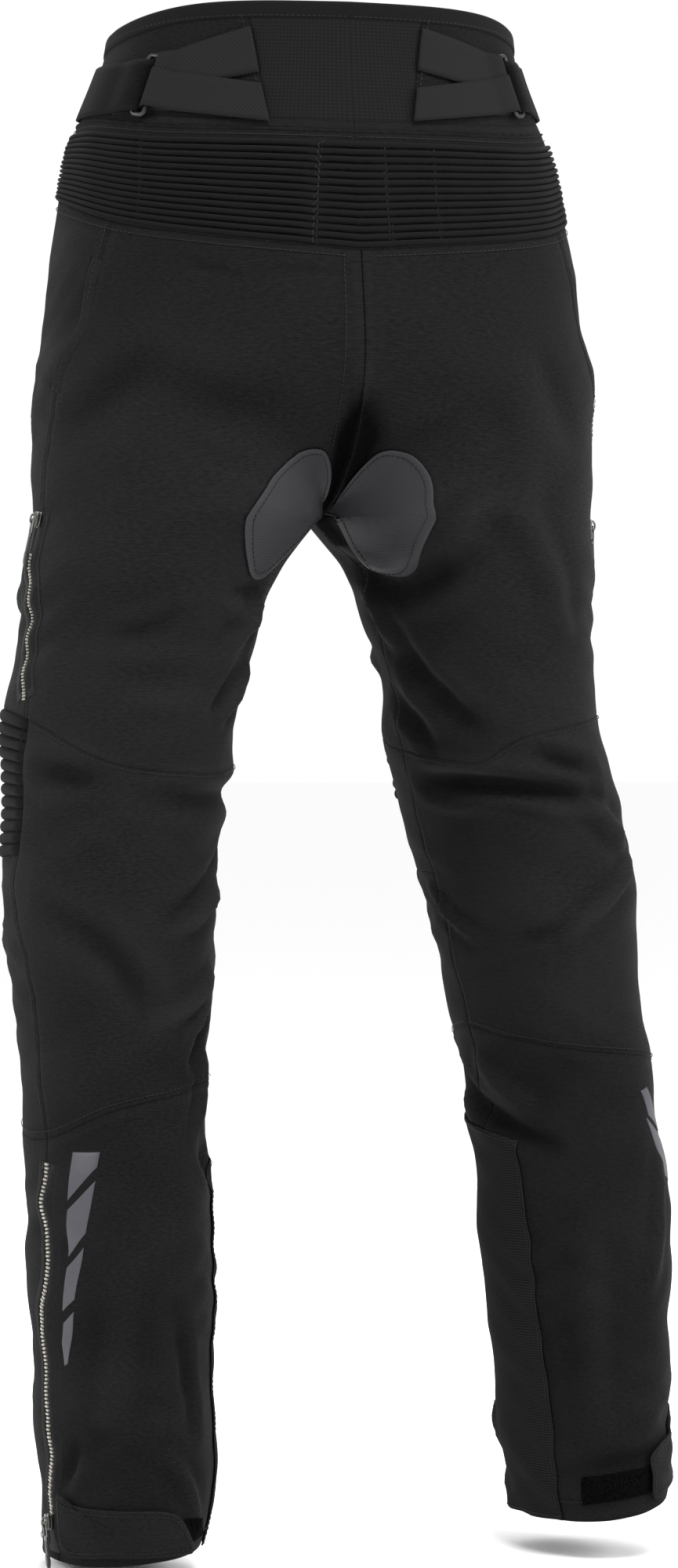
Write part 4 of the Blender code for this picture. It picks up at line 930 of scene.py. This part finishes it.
def cloth_path(side, places, lift, spacing=0.004):
    """A line over the cloth through places of share and height, with the directions out of the cloth."""
    places = np.array(places, float)
    run = run_along(places * (GIRTH, 1))
    at = np.linspace(0, run[-1], max(3, round(run[-1] / spacing)))
    return surface(side, np.interp(at, run, places[:, 0]), np.interp(at, run, places[:, 1]), lift)


def seam_path(side, start, end, lift=0.0009):
    """A line over the cloth between two places on the pattern, counted in seams."""
    steps = np.linspace(0, 1, 60)
    share, height = to_share_height(side, start[0] + (end[0] - start[0]) * steps,
        start[1] + (end[1] - start[1]) * steps)
    return cloth_path(side, np.stack([share, height], axis=1), lift)


def repeated(name, paths, unit, spacing, sideways, finish, slot):
    """Sets one small part again and again along lines on the cloth, by a tree that spaces, turns and places it."""
    mesh = bpy.data.meshes.new(name)
    vertices, edges, outward = [], [], []
    for points, out in paths:
        start = len(vertices)
        vertices += points.tolist()
        outward += out.tolist()
        edges += [(start + i, start + i + 1) for i in range(len(points) - 1)]
    mesh.from_pydata(vertices, edges, [])
    mesh.attributes.new("outward", "FLOAT_VECTOR", "POINT").data.foreach_set("vector", np.array(outward).ravel())
    thing = bpy.data.objects.new(name, mesh)
    scene.collection.objects.link(thing)
    tree, given, keys = new_group("row_of_" + name, "Parts", Line="Geometry", Part="Object", Spacing="Float",
        Sideways="Float", Seed="Int", Finish="Material")
    line = add(tree, "GeometryNodeMeshToCurve", {0: given.outputs["Line"]})
    even = add(tree, "GeometryNodeResampleCurve", {"Curve": line, "Length": given.outputs["Spacing"]}, mode="LENGTH")
    along = add(tree, "FunctionNodeAlignRotationToVector", {"Vector": add(tree, "GeometryNodeInputTangent")},
        axis="X")
    outwards = add(tree, "GeometryNodeInputNamedAttribute", {"Name": "outward"}, data_type="FLOAT_VECTOR")
    upright = add(tree, "FunctionNodeAlignRotationToVector", {"Rotation": along, "Vector": outwards}, axis="Z",
        pivot_axis="X")
    uneven = add(tree, "FunctionNodeRandomValue", {2: 0.92, 3: 1.06, "Seed": given.outputs["Seed"]},
        data_type="FLOAT")
    picked = add(tree, "GeometryNodeObjectInfo", {"Object": given.outputs["Part"]})
    row = add(tree, "GeometryNodeInstanceOnPoints",
        {"Points": even, "Instance": picked.outputs["Geometry"], "Rotation": upright, "Scale": uneven.outputs[1]})
    odd = maths(tree, "MODULO", add(tree, "GeometryNodeInputIndex"), 2.0)
    sense = maths(tree, "MULTIPLY_ADD", odd, 2.0, -1.0)
    shift = add(tree, "CombineXYZ", {"Y": maths(tree, "MULTIPLY", sense, given.outputs["Sideways"])})
    moved = add(tree, "GeometryNodeTranslateInstances", {"Instances": row, "Translation": shift})
    grown(thing, tree, given, keys, moved, Part=unit, Spacing=spacing, Sideways=sideways, Seed=7, Finish=finish)
    return dressed(thing, slot)


def turned_out(mesh):
    """Turns every face of a closed mesh outwards."""
    work = bmesh.new()
    work.from_mesh(mesh)
    bmesh.ops.recalc_face_normals(work, faces=work.faces)
    work.to_mesh(mesh)
    work.free()


def small_bar(name, stations, sides):
    """One small part: rings of points at stations along it, each with its half width, lowest and highest place."""
    mesh = bpy.data.meshes.new(name)
    vertices = []
    for x, half, under, over in stations:
        for k in range(sides):
            angle = 2 * math.pi * (k + 0.5) / sides
            vertices.append((x, half * math.cos(angle) / math.cos(math.pi / sides),
                (under + over) / 2 + (over - under) / 2 * math.sin(angle) / math.cos(math.pi / sides)))
    faces = ring_faces(len(stations), sides)
    faces += [tuple(range(sides))[::-1], tuple((len(stations) - 1) * sides + k for k in range(sides))]
    mesh.from_pydata(vertices, [], faces)
    turned_out(mesh)
    return bpy.data.objects.new(name, mesh)


thread, tree, shader, place = new_finish("polyester_thread_black", "#161617", 0.6, specular_ior_level=0.2,
    by_object=True)
twist = noise(tree, place, 1800.0, detail=1.0)
# Two plies of 0.2 mm twisted together, seen only as a flicker of light and dark along each stitch.
tinted(shader, twist, "#060606", "#111112")
stitch = small_bar("stitch", ((-0.0015, 0.00012, -0.0004, -0.0001), (-0.0008, 0.00026, -0.0002, 0.00022),
    (0.0008, 0.00026, -0.0002, 0.00022), (0.0015, 0.00012, -0.0004, -0.0001)), 4)

STITCH_PITCH = 0.0036
rows = []
for side in SIDES:
    rows += [seam_path(side, start, end) for start, end in (
        ((0.045, 3.03), (1.985, 3.03)), ((0.02, 5.020), (0.98, 5.020)), ((0.02, 6.975), (1.98, 6.975)),
        ((0.02, 8 - 0.013 / 0.30), (1.98, 8 - 0.013 / 0.30)), ((1.013, 3.02), (1.013, 3.96)),
        ((1.013, 4.02), (1.013, 4.98)), ((1.013, 5.02), (1.013, 6.98)), ((0.015, 4.05), (0.015, 4.98)),
        ((0.015, 5.02), (0.015, 6.98)), ((0.015, 1.80), (1.985, 1.80)), ((0.015, 0.118), (1.985, 0.118)),
    )]
    top, foot = BACK_PANEL[side]
    rows.append(seam_path(side, (top + 0.014, 0.13), (foot + 0.020, 0.97)))
rows.append(cloth_path("left", ((0.0145, -0.127), (0.0150, -0.167), (0.0170, -0.214), (0.0190, -0.252)), 0.0006))


def inset_ring(ring, inset):
    """The outline moved inwards by the same distance all round, and closed."""
    along = sum(np.roll(ring, -k, axis=0) - np.roll(ring, k, axis=0) for k in (1, 2))
    turn = np.sign(np.sum(ring[:, 0] * np.roll(ring[:, 1], -1) - np.roll(ring[:, 0], -1) * ring[:, 1]))
    inwards = turn * inset * np.stack([-along[:, 1], along[:, 0]], axis=1)
    inner = ring + inwards / np.linalg.norm(along, axis=1, keepdims=True)
    return np.concatenate([inner, inner[:1]])


for side, ring, inset in STITCHED:
    inner = inset_ring(ring, inset)
    places = np.stack([inner[:, 0] / GIRTH, under_seat(inner[:, 1], True)], axis=1)
    rows.append(cloth_path(side, places, GRIP_LIFT + PATCH + 0.00025, 0.0015))
repeated("sewing_thread", rows, stitch, STITCH_PITCH, 0.0, thread, "softshell")
zigzag = []
for side, tacks in YOKE_TACKS.items():
    for start, end, width, depth in tacks:
        count = YOKE_RIBS * 2
        steps = np.linspace(0, 1, count + 1)
        _, height = to_share_height(side, np.full(count + 1, start / 0.33), 2.02 + 0.96 * steps)
        share = start + (end - start) * steps + np.where(np.arange(count + 1) % 2, 0.0034, -0.0034)
        zigzag.append(cloth_path(side, np.stack([share, height], axis=1), 0.0010, 0.0009))
repeated("tack_thread", zigzag, stitch, 0.0031, 0.0, thread, "stretch_rib")

# Hand pockets. The mouth is cut on a slant behind each side seam. A folded welt of the main cloth
# stands along it, and a near-black strip of lining beside the welt shows the mouth as a dark line:
# the lining's own black, with the shade inside the mouth painted into it.
POCKET = counted(((3520, -1280), (3660, -1500), (3760, -1720), (4120, -1960), (4340, -2160)))


def strip(name, side, places, profile, thick, finish, slot, nodes=(), fade=0.0):
    """A strip along a line on the cloth. The profile gives how far each of its lines lies beside the middle and
    above the cloth; it sinks into the cloth over the fade at each end."""
    places = np.array(places, float) * (GIRTH, 1)
    run = run_along(places)
    fine = np.linspace(0, run[-1], max(6, round(run[-1] / 0.004)))
    middle = curve_through(np.column_stack([run, places]).tolist(), fine)
    along = np.gradient(middle, axis=0)
    along /= np.linalg.norm(along, axis=1, keepdims=True)
    beside = np.stack([-along[:, 1], along[:, 0]], axis=1)
    flat = middle[:, None] + beside[:, None] * np.array(profile)[None, :, :1]
    full = np.clip(np.minimum(fine, run[-1] - fine) / max(fade, 1e-6), 0, 1)
    full = (full * (2 - full))[:, None]
    points, _ = surface(side, flat[..., 0] / GIRTH, flat[..., 1], 0.0002 + (np.array(profile)[:, 1] - 0.0002) * full)
    wear_and_painted_light = np.zeros(flat.shape[:2])
    wear_and_painted_light[:, (0, -1)] = 1
    thing = make_piece(name + "_" + side, points, net_faces(*points.shape[:2], side == "right"), flat, wear_and_painted_light, finish)
    dressed(thickened(thing, thick), slot, *nodes)
    if np.ptp([p[0] for p in profile]) > 0.0102:
        cut_of(thing)
    return thing


# Near black: the lining's own colour, with the shade of the open mouth painted in.
lining_and_shade, tree, shader, place = new_finish("pocket_lining_and_painted_shade", "#060607", 0.9, specular_ior_level=0.05)
weave = noise(tree, place, 900.0)
tinted(shader, weave, "#030303", "#070708")
for side in SIDES:
    welt = ((-0.0056, 0.0002), (-0.0050, 0.0006), (-0.0034, 0.0009), (0.0000, 0.0011), (0.0030, 0.0015),
        (0.0046, 0.0015), (0.0052, 0.0010))
    strip("pocket_welt_cloth", side, POCKET, welt, 0.0008, softshell, "softshell", ["pocket_welt_" + side],
        fade=0.010)
    strip("pocket_mouth_lining", side, POCKET, ((0.0050, 0.0004), (0.0060, 0.0005), (0.0070, 0.0003)), 0.0003, lining_and_shade,
        "softshell", fade=0.012)

# Zips. A long vent zip lies in each thigh's side seam and a longer one opens each calf to the hem.
# Silver moulded teeth run on a woven black tape between two turned edges of the cloth; the sliders
# are dark nickel, and each pull is a wire link with a moulded tab.
THIGH_ZIP = counted(((4880, -2960), (4880, -3250), (4810, -3500), (4840, -3800), (4840, -4020), (4680, -4240)))
HEM_ZIP = counted({
    "left": ((4630, -7380), (4700, -7620), (4700, -7840), (4650, -8030), (4720, -8240), (4840, -8380),
        (4900, -8550), (4870, -8720), (4840, -8900), (4820, -9080), (4800, -9250), (4810, -9410), (4900, -9580),
        (5000, -9780), (5040, -10060)),
    "right": ((4720, -7000), (4740, -7450), (4720, -7900), (4840, -8300), (4880, -8650), (4860, -9050),
        (4940, -9450), (5000, -9720)),
})
PULLS = counted({"thigh": {"left": (4860, -3020), "right": (4860, -3020)},
    "hem": {"left": (5000, -9840), "right": (4940, -9500)}})
zip_tape, tree, shader, place = new_finish("woven_zip_tape_black", "#161617", 0.7, specular_ior_level=0.15)
part = add(tree, "SeparateXYZ", {0: place})
rung = ripple(tree, part.outputs[1], 0.0012)
tinted(shader, ranged(tree, rung, low=-1.0), "#0A0A0B", "#141415")
bumped(shader, rung, 0.4, 0.0001)
teeth, tree, shader, place = new_finish("moulded_teeth_silver", "#A29E94", 0.38, metallic=0.55, by_object=True)
cast = noise(tree, place, 900.0, detail=1.0)
# Acetal resin with a vapour-laid metal skin: silver with a beige cast, bright on the tooth heads.
tinted(shader, cast, "#858177", "#B0ACA2")


def wavy(places, swing, turn=0.031):
    """A zip sewn into soft cloth doesn't lie quite straight: it swings a little from side to side."""
    share, height = np.array(places, float).T
    fine = np.linspace(height[0], height[-1], max(4, round((height[0] - height[-1]) / 0.006)))
    off = swing / GIRTH * np.sin(fine * 2 * math.pi / turn + 2 * np.sin(fine * 37))
    return list(zip(np.interp(-fine, -height, share) + off, fine))


for kind, half, pitch in (("thigh", 0.00125, 0.0022), ("hem", 0.00185, 0.0026)):
    tooth = small_bar(kind + "_tooth", ((-0.30 * pitch, half * 0.95, -0.0002, 0.0006),
        (-0.24 * pitch, half, -0.0002, 0.0010), (0.24 * pitch, half, -0.0002, 0.0010),
        (0.30 * pitch, half * 0.95, -0.0002, 0.0006)), 4)
    rows = []
    for side in SIDES:
        places = THIGH_ZIP[1:] if kind == "thigh" else HEM_ZIP[side][:-1]
        last = places[-1] if kind == "thigh" else (places[-1][0], PULLS[kind][side][1] + 0.004)
        places = [(places[0][0], places[0][1] - 0.001), *places[1:-1], last]
        swing = 0.0009 if kind == "thigh" else 0.0003
        places, whole = wavy(places, swing), wavy(THIGH_ZIP if kind == "thigh" else HEM_ZIP[side], swing)
        wide = 0.0100 if kind == "thigh" else 0.0075
        node = kind + "_zip_tape_" + side
        strip(kind + "_zip_tape_cloth", side, whole,
            ((-wide, 0.0007), (-0.003, 0.0009), (0, 0.0010), (0.003, 0.0009), (wide, 0.0007)), 0.0005, zip_tape,
            "zip_tape", [node])
        for edge, sense in (("front", 1), ("back", -1)):
            shape = [(sense * (half * 1.75 + 0.0006 + u), lift) for u, lift in (
                (0.0000, 0.0010), (0.0004, 0.0013), (0.0012, 0.0014), (0.0026, 0.0012), (0.0046, 0.0008),
                (0.0064, 0.0004), (0.0076, 0.0001))]
            strip("%s_zip_%s_edge" % (kind, edge), side, whole, shape[::sense], 0.0007, softshell, "softshell",
                fade=0.014)
        rows.append(cloth_path(side, places, 0.0013))
    repeated(kind + "_zip_teeth", rows, tooth, pitch, half * 0.18, teeth, "zip_tape")

# Sliders and pulls. Each slider is a die-cast shield with a bridge over its crown; the pull is a bent
# wire link through the bridge, closed on a flat moulded tab with a thicker grip at its end.
nickel, tree, shader, place = new_finish("die_cast_dark_nickel", "#5E5D5B", 0.30, metallic=1.0, by_object=True)
scuff = noise(tree, place, 260.0, detail=4.0)
feed(shader, "Roughness", ranged(tree, scuff, to_low=0.22, to_high=0.42))
tinted(shader, scuff, "#4A4947", "#7A7875")
moulded, tree, shader, place = new_finish("moulded_pull_tab_black", "#1B1B1C", 0.45, specular_ior_level=0.5,
    by_object=True)
pebble = noise(tree, place, 900.0)
# Thermoplastic rubber from a spark-eroded mould: a fine matt pebble of 0.5 mm with a soft highlight.
tinted(shader, pebble, "#141415", "#262627")
bumped(shader, pebble, 0.4, 0.0001)


def frame_at(side, share, height):
    """A place on the cloth with its directions: towards the front seam, down, and out."""
    at, out = (v[0] for v in surface(side, np.array([share]), np.array([height])))
    down = plain_point(side, share, height - 0.002) - plain_point(side, share, height + 0.002)
    down -= out * np.dot(down, out)
    down /= np.linalg.norm(down)
    return at, np.cross(down, out) * SIDES[side], down, out


def in_frame(place, points):
    at, across, down, out = place
    return [at + across * x + down * y + out * z for x, y, z in points]


def plate(outline, under, over, round_by):
    """A flat plate from an outline, with its edges rounded. Gives its points and faces."""
    work = bmesh.new()
    rings = [[work.verts.new((x, y, z)) for x, y in outline] for z in (under, over)]
    work.faces.new(rings[1])
    work.faces.new(rings[0][::-1])
    for i in range(len(outline)):
        j = (i + 1) % len(outline)
        work.faces.new((rings[0][i], rings[0][j], rings[1][j], rings[1][i]))
    rims = [edge for edge in work.edges if abs(edge.verts[0].co.z - edge.verts[1].co.z) < 1e-7]
    bmesh.ops.bevel(work, geom=rims, offset=round_by, segments=2, profile=0.6, affect="EDGES")
    work.verts.index_update()
    shape = [tuple(v.co) for v in work.verts], [tuple(v.index for v in f.verts) for f in work.faces]
    work.free()
    return shape


def wire(path, radius, closed, sides=10):
    """A round wire along a path. Gives its points and faces."""
    path = np.array(path, float)
    ahead, behind = np.roll(path, -1, axis=0), np.roll(path, 1, axis=0)
    if not closed:
        ahead[-1], behind[0] = path[-1], path[0]
    along = ahead - behind
    along /= np.linalg.norm(along, axis=1, keepdims=True)
    spread = np.linalg.svd(path - path.mean(axis=0))[2][2]
    side_way = np.cross(along, spread)
    side_way /= np.linalg.norm(side_way, axis=1, keepdims=True)
    angles = np.linspace(0, 2 * np.pi, sides, endpoint=False)
    c, s = np.cos(angles)[None, :, None], np.sin(angles)[None, :, None]
    points = path[:, None] + radius * (c * side_way[:, None] + s * spread)
    count = len(path)
    faces = ring_faces(count, sides, closed)
    if not closed:
        faces += [tuple(range(sides))[::-1], tuple((count - 1) * sides + k for k in range(sides))]
    return [tuple(p) for p in points.reshape(-1, 3)], faces


def hard_piece(name, place, parts, body, node, finishes):
    """One piece from plates and wires given in the directions of a place on the cloth, each with its own finish."""
    vertices, faces, looks = [], [], []
    for look, (points, part_faces) in parts:
        start = len(vertices)
        vertices += in_frame(place, points)
        faces += [tuple(v + start for v in face) for face in part_faces]
        looks += [look] * len(part_faces)
    mesh = bpy.data.meshes.new(name)
    mesh.from_pydata([tuple(v) for v in vertices], [], faces)
    for finish in finishes:
        mesh.materials.append(finish)
    mesh.polygons.foreach_set("material_index", looks)
    mesh.polygons.foreach_set("use_smooth", [True] * len(faces))
    turned_out(mesh)
    mesh.set_sharp_from_angle(angle=math.radians(38))
    thing = bpy.data.objects.new(name, mesh)
    scene.collection.objects.link(thing)
    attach(thing, body)
    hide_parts(node)
    return thing


def rounded_loop(half_x, low_y, high_y, corner, z, steps=5):
    """A closed path round a rectangle with rounded corners."""
    path = []
    for sx, sy, start in ((1, 1, 0), (-1, 1, 90), (-1, -1, 180), (1, -1, 270)):
        middle_y = high_y - corner if sy > 0 else low_y + corner
        for k in range(steps + 1):
            angle = math.radians(start + 90 * k / steps)
            path.append((sx * (half_x - corner) + corner * math.cos(angle), middle_y + corner * math.sin(angle), z))
    return path


SHIELD = counted(((-30, -55), (30, -55), (38, -44), (38, 12), (28, 44), (14, 55), (-14, 55), (-28, 44), (-38, 12),
    (-38, -44)))
CROWN = counted(((-19, -40), (19, -40), (24, -26), (18, 30), (10, 40), (-10, 40), (-18, 30), (-24, -26)))
TAB = counted(((-13, 104), (13, 104), (18, 125), (21, 200), (24, 280), (20, 312), (10, 322), (-10, 322), (-20, 312),
    (-24, 280), (-21, 200), (-18, 125)))
NECK = counted(((-18, 90), (18, 90), (18, 124), (-18, 124)))
GRIP = counted(((-15, 225), (15, 225), (18, 245), (18, 290), (10, 306), (-10, 306), (-18, 290), (-18, 245)))
for kind, places in PULLS.items():
    for side, (share, height) in places.items():
        place = frame_at(side, share, height)
        bridge = [(0, 0.0044 * math.cos(a) * 0.86, 0.0046 + 0.0038 * math.sin(a) ** 0.6)
            for a in np.linspace(0, math.pi, 15)]
        hard_piece("%s_zip_slider_%s" % (kind, side), place, (
            (0, plate(SHIELD, 0.0018, 0.0030, 0.0004)),
            (0, plate(SHIELD, 0.0038, 0.0052, 0.0005)),
            (0, plate(CROWN, 0.0026, 0.0060, 0.0005)),
            (0, wire(bridge, 0.0007, False)),
        ), ROOT, "%s_slider_%s" % (kind, side), [nickel])
        hard_piece("%s_zip_pull_%s" % (kind, side), place, (
            (0, wire(rounded_loop(0.0027, 0.0000, 0.0100, 0.0018, 0.0065), 0.00065, True)),
            (0, plate(NECK, 0.0056, 0.0074, 0.0004)),
            (1, plate(TAB, 0.0057, 0.0073, 0.0005)),
            (1, plate(GRIP, 0.0053, 0.0077, 0.0004)),
        ), "%s_pull_%s_body" % (kind, side), "%s_pull_%s" % (kind, side), [nickel, moulded])

# Hem tabs. A stiffened tab of the main cloth wraps the back of each hem from the zip and closes on a
# patch of loop pile, so the leg can be drawn in over a boot. Its free end stands a little off.
HEM_TAB = counted({
    "left": ((4620, -9635), (4400, -9660), (4110, -9680), (3450, -9688), (2750, -9690), (2400, -9710),
        (2220, -9750), (2060, -9830), (1920, -9920), (1860, -9960), (1900, -9990), (2100, -9998), (3400, -10012),
        (4620, -10020)),
    "right": ((4620, -9180), (4240, -9225), (3860, -9270), (3460, -9338), (3060, -9410), (2900, -9460),
        (2855, -9520), (2850, -9660), (2880, -9730), (3000, -9752), (3800, -9665), (4620, -9560)),
})
LOOP_PATCH = counted({
    "left": ((2320, -9765), (1620, -9765), (1310, -9900), (1700, -9930), (2260, -9905)),
    "right": ((1390, -9600), (3200, -9510), (3200, -9690), (1390, -9790)),
})
loop_pile, tree, shader, place = new_finish("loop_pile_black", "#040405", 1.0, specular_ior_level=0.02)
loops = add(tree, "TexVoronoi", {"Vector": place, "Scale": 650.0})
# Nylon loops stand 1.5 mm apart in rough rows, so the pile looks pitted and swallows light.
tinted(shader, loops, "#0A0A0B", "#010101")
bumped(shader, loops, 1.0, 0.0006)
rows = []
for side, free in (("left", 0.245), ("right", 0.330)):
    laid_piece("loop_pile_patch", side, LOOP_PATCH[side], 0.0005, 0.0010, loop_pile, "hook_and_loop",
        ["loop_patch_" + side], spacing=0.0025)
    lifted = lambda share, height: (0.0018 * np.clip((free - share) / 0.05, 0, 1)
        + 0.0012 * np.clip((share - 0.425) / 0.03, 0, 1))
    ring = laid_piece("hem_tab_cloth", side, HEM_TAB[side], 0.0020, 0.0015, softshell, "softshell",
        ["hem_tab_" + side], soft=True, spacing=0.0025, rise=lifted)
    inner = inset_ring(ring, 0.0036) / (GIRTH, 1)
    points, out = cloth_path(side, inner, 0.0, 0.0015)
    share_run = np.interp(np.linspace(0, 1, len(points)), np.linspace(0, 1, len(inner)), inner[:, 0])
    rows.append((points + out * (0.0037 + lifted(share_run, 0))[:, None], out))
repeated("hem_tab_thread", rows, stitch, STITCH_PITCH, 0.0, thread, "softshell")

# Belt straps. Two elastics run from each edge of the back panel to one wire ring; they lie flat on
# the band, cross just before the ring, and each loops round its inner bar. From the outer bar a
# hook-and-loop strap of the main cloth runs round to the front, where it is closed on itself.
RING = {"left": (0.307, -0.0112), "right": (0.275, -0.0045)}
RING_LIFT, RING_HALF, WIRE = 0.0044, 0.0050, 0.00175
RISES_AT = 0.80  # the share of a strap's length where it leaves the band and rises to the ring
STRAPS = counted({
    # share and height of its top and lower edge where it is sewn on, their heights at the ring, how high it lies
    "left": {"upper": ((1415, 285), (1210, -30), 105, -190, 0), "lower": ((1156, -112), (983, -374), -2, -270, 13),
             "hook": ((7150, 125), (7150, -225), 62, -290, 2)},
    "right": {"upper": ((1037, 310), (877, 15), 158, -150, 0), "lower": ((808, -112), (681, -345), 20, -232, 13),
              "hook": ((7150, 135), (7150, -205), 128, -222, 2)},
})
elastic, tree, shader, place = new_finish("woven_elastic_charcoal", "#131314", 0.8, specular_ior_level=0.1)
part = add(tree, "SeparateXYZ", {0: place})
cords = [ripple(tree, part.outputs[axis], pitch) for axis, pitch in ((1, 0.003), (0, 0.0024))]
lap = maths(tree, "MULTIPLY", cords[0], cords[1])
grit = noise(tree, place, 1400.0)
height = maths(tree, "MULTIPLY_ADD", grit, 1.8, lap)
# Rubber cores under a herringbone of polyester: cords of 1.1 mm drawn at 2.2 mm. It is greyer and
# has more gloss than the cloth under it.
tinted(shader, ranged(tree, height, low=-0.6, high=2.4), "#070708", "#1C1C1D")
bumped(shader, height, 0.5, 0.0002)
gunmetal, tree, shader, place = new_finish("gunmetal_wire", "#333335", 0.42, metallic=1.0, by_object=True)
scuff = noise(tree, place, 300.0, detail=3.0)
# Steel wire with a dark electroplated skin, a little lighter where the straps rub it.
tinted(shader, scuff, "#29292B", "#454547")


def belt(name, side, row, thick, finish, slot, node, turn_in):
    """A flat strap from its sewn end to a bar of the ring: it rises to the bar, loops round it, and lies back on
    itself."""
    start_top, start_low, end_top, end_low, base = row
    share, height = RING[side]
    metre = np.linalg.norm(plain_point(side, share + 0.02, height) - plain_point(side, share - 0.02, height)) / 0.04
    sense = 1 if share > start_top[0] else -1
    bar_share = share - sense * RING_HALF / metre
    radius = WIRE + 0.0003 + base + thick / 2
    base += 0.0006
    path = [(u, base + thick + 0.0001) for u in np.linspace(0, RISES_AT, 26)]
    reach = abs(bar_share - start_top[0])
    for u in np.linspace(RISES_AT, 1.0, 10)[1:-1]:
        t = (u - RISES_AT) / 0.20
        path.append((u, base + thick + (RING_LIFT + radius - base - thick) * t * t * (3 - 2 * t)))
    path += [(1 + radius * math.sin(a) / (reach * metre), RING_LIFT + radius * math.cos(a))
        for a in np.linspace(0, math.radians(172), 13)]
    for u in np.linspace(0, 1, 6)[1:]:
        path.append((1 - turn_in * u / (reach * metre),
            RING_LIFT - radius + (base + thick * 0.5 - RING_LIFT + radius) * u * 0.5))
    path = np.array(path)
    across = np.linspace(0, 1, 9)
    u, lift = path[:, :1], path[:, 1:]
    held = np.clip(u, 0, 1)
    top_share = start_top[0] + (bar_share - start_top[0]) * u
    low_share = start_low[0] + (bar_share - start_low[0]) * u
    top_height = start_top[1] + (end_top - start_top[1]) * held
    low_height = start_low[1] + (end_low - start_low[1]) * held
    share = top_share + (low_share - top_share) * across
    height = top_height + (low_height - top_height) * across
    edge = -0.0002 * (np.abs(across - 0.5) > 0.49)
    points, _ = surface(side, share, height, lift + edge)
    run = run_along(points[:, 4])
    wide = np.linalg.norm(points[:, 0] - points[:, -1], axis=1).mean()
    uv = np.stack(np.broadcast_arrays(run[:, None], across * wide), axis=-1)
    # The value makes the hook strap darker all over, its edges less so.
    wear_and_painted_light = np.full(share.shape, -0.6)
    wear_and_painted_light[:, (0, -1)] = -0.1
    turned = (side == "right") != (sense < 0)
    thing = make_piece(name + "_" + side, points, net_faces(*points.shape[:2], not turned), uv, wear_and_painted_light, finish)
    dressed(thickened(thing, thick), slot, node)
    thing.modifiers["cloth_thickness"].offset = 0
    cut_of(thing)


for side in SIDES:
    for which in ("upper", "lower"):
        belt("elastic_%s_strap" % which, side, STRAPS[side][which], 0.0011, elastic, "elastic_webbing",
            "elastic_%s_%s" % (which, side), 0.014)
    belt("hook_strap_cloth", side, STRAPS[side]["hook"], 0.0018, softshell, "hook_and_loop", "hook_strap_" + side,
        0.020)
    hard_piece("belt_ring_" + side, frame_at(side, *RING[side]),
        ((0, wire(rounded_loop(RING_HALF, -0.0214, 0.0214, 0.0030, RING_LIFT, 6), WIRE, True, 14)),), ROOT,
        "waist_ring_" + side, [gunmetal])

# Front closure. A fly flap, curved at its foot, covers the front zip; a tab over it closes the
# waistband with a press stud. This side isn't seen from the camera and is finished plainly.
FLY = counted(((9000, -460), (9985, -460), (9985, -2000), (9750, -1990), (9450, -1880), (9150, -1600), (9020, -1200)))
WAIST_TAB = counted(((8800, 130), (8740, -30), (8800, -200), (9985, -220), (9985, 150)))
laid_piece("fly_flap_cloth", "left", FLY, 0.0006, 0.0014, softshell, "softshell", ["fly_flap_left"])
laid_piece("waist_tab_cloth", "left", WAIST_TAB, 0.0006, 0.0018, softshell, "softshell", ["waist_tab_left"])
FRONT_ROWS = (
    (0.0022, ((9080, -500), (9100, -1200), (9220, -1570), (9500, -1840), (9780, -1950), (9960, -1960))),
    (0.0022, ((9220, -500), (9240, -1180), (9360, -1500), (9580, -1740), (9820, -1840), (9960, -1850))),
    (0.0026, ((9940, 115), (8860, 98), (8810, -30), (8860, -165), (9940, -185))),
)
rows = [cloth_path("left", counted(places), lift) for lift, places in FRONT_ROWS]
repeated("front_thread", rows, stitch, STITCH_PITCH, 0.0, thread, "softshell")
disc = [(0.0074 * math.cos(a), 0.0074 * math.sin(a)) for a in np.linspace(0, 2 * math.pi, 32, endpoint=False)]
cap = [(x * 0.72, y * 0.72) for x, y in disc]
hard_piece("press_stud", frame_at("left", 0.955, -0.004),
    ((0, plate(disc, 0.0021, 0.0038, 0.0006)), (0, plate(cap, 0.0036, 0.0044, 0.0004))), ROOT,
    "waist_snap", [nickel])

size = {"cad": [list(map(float, corner)) for corner in cad_box],
    "visual": [list(map(float, corner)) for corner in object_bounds()]}
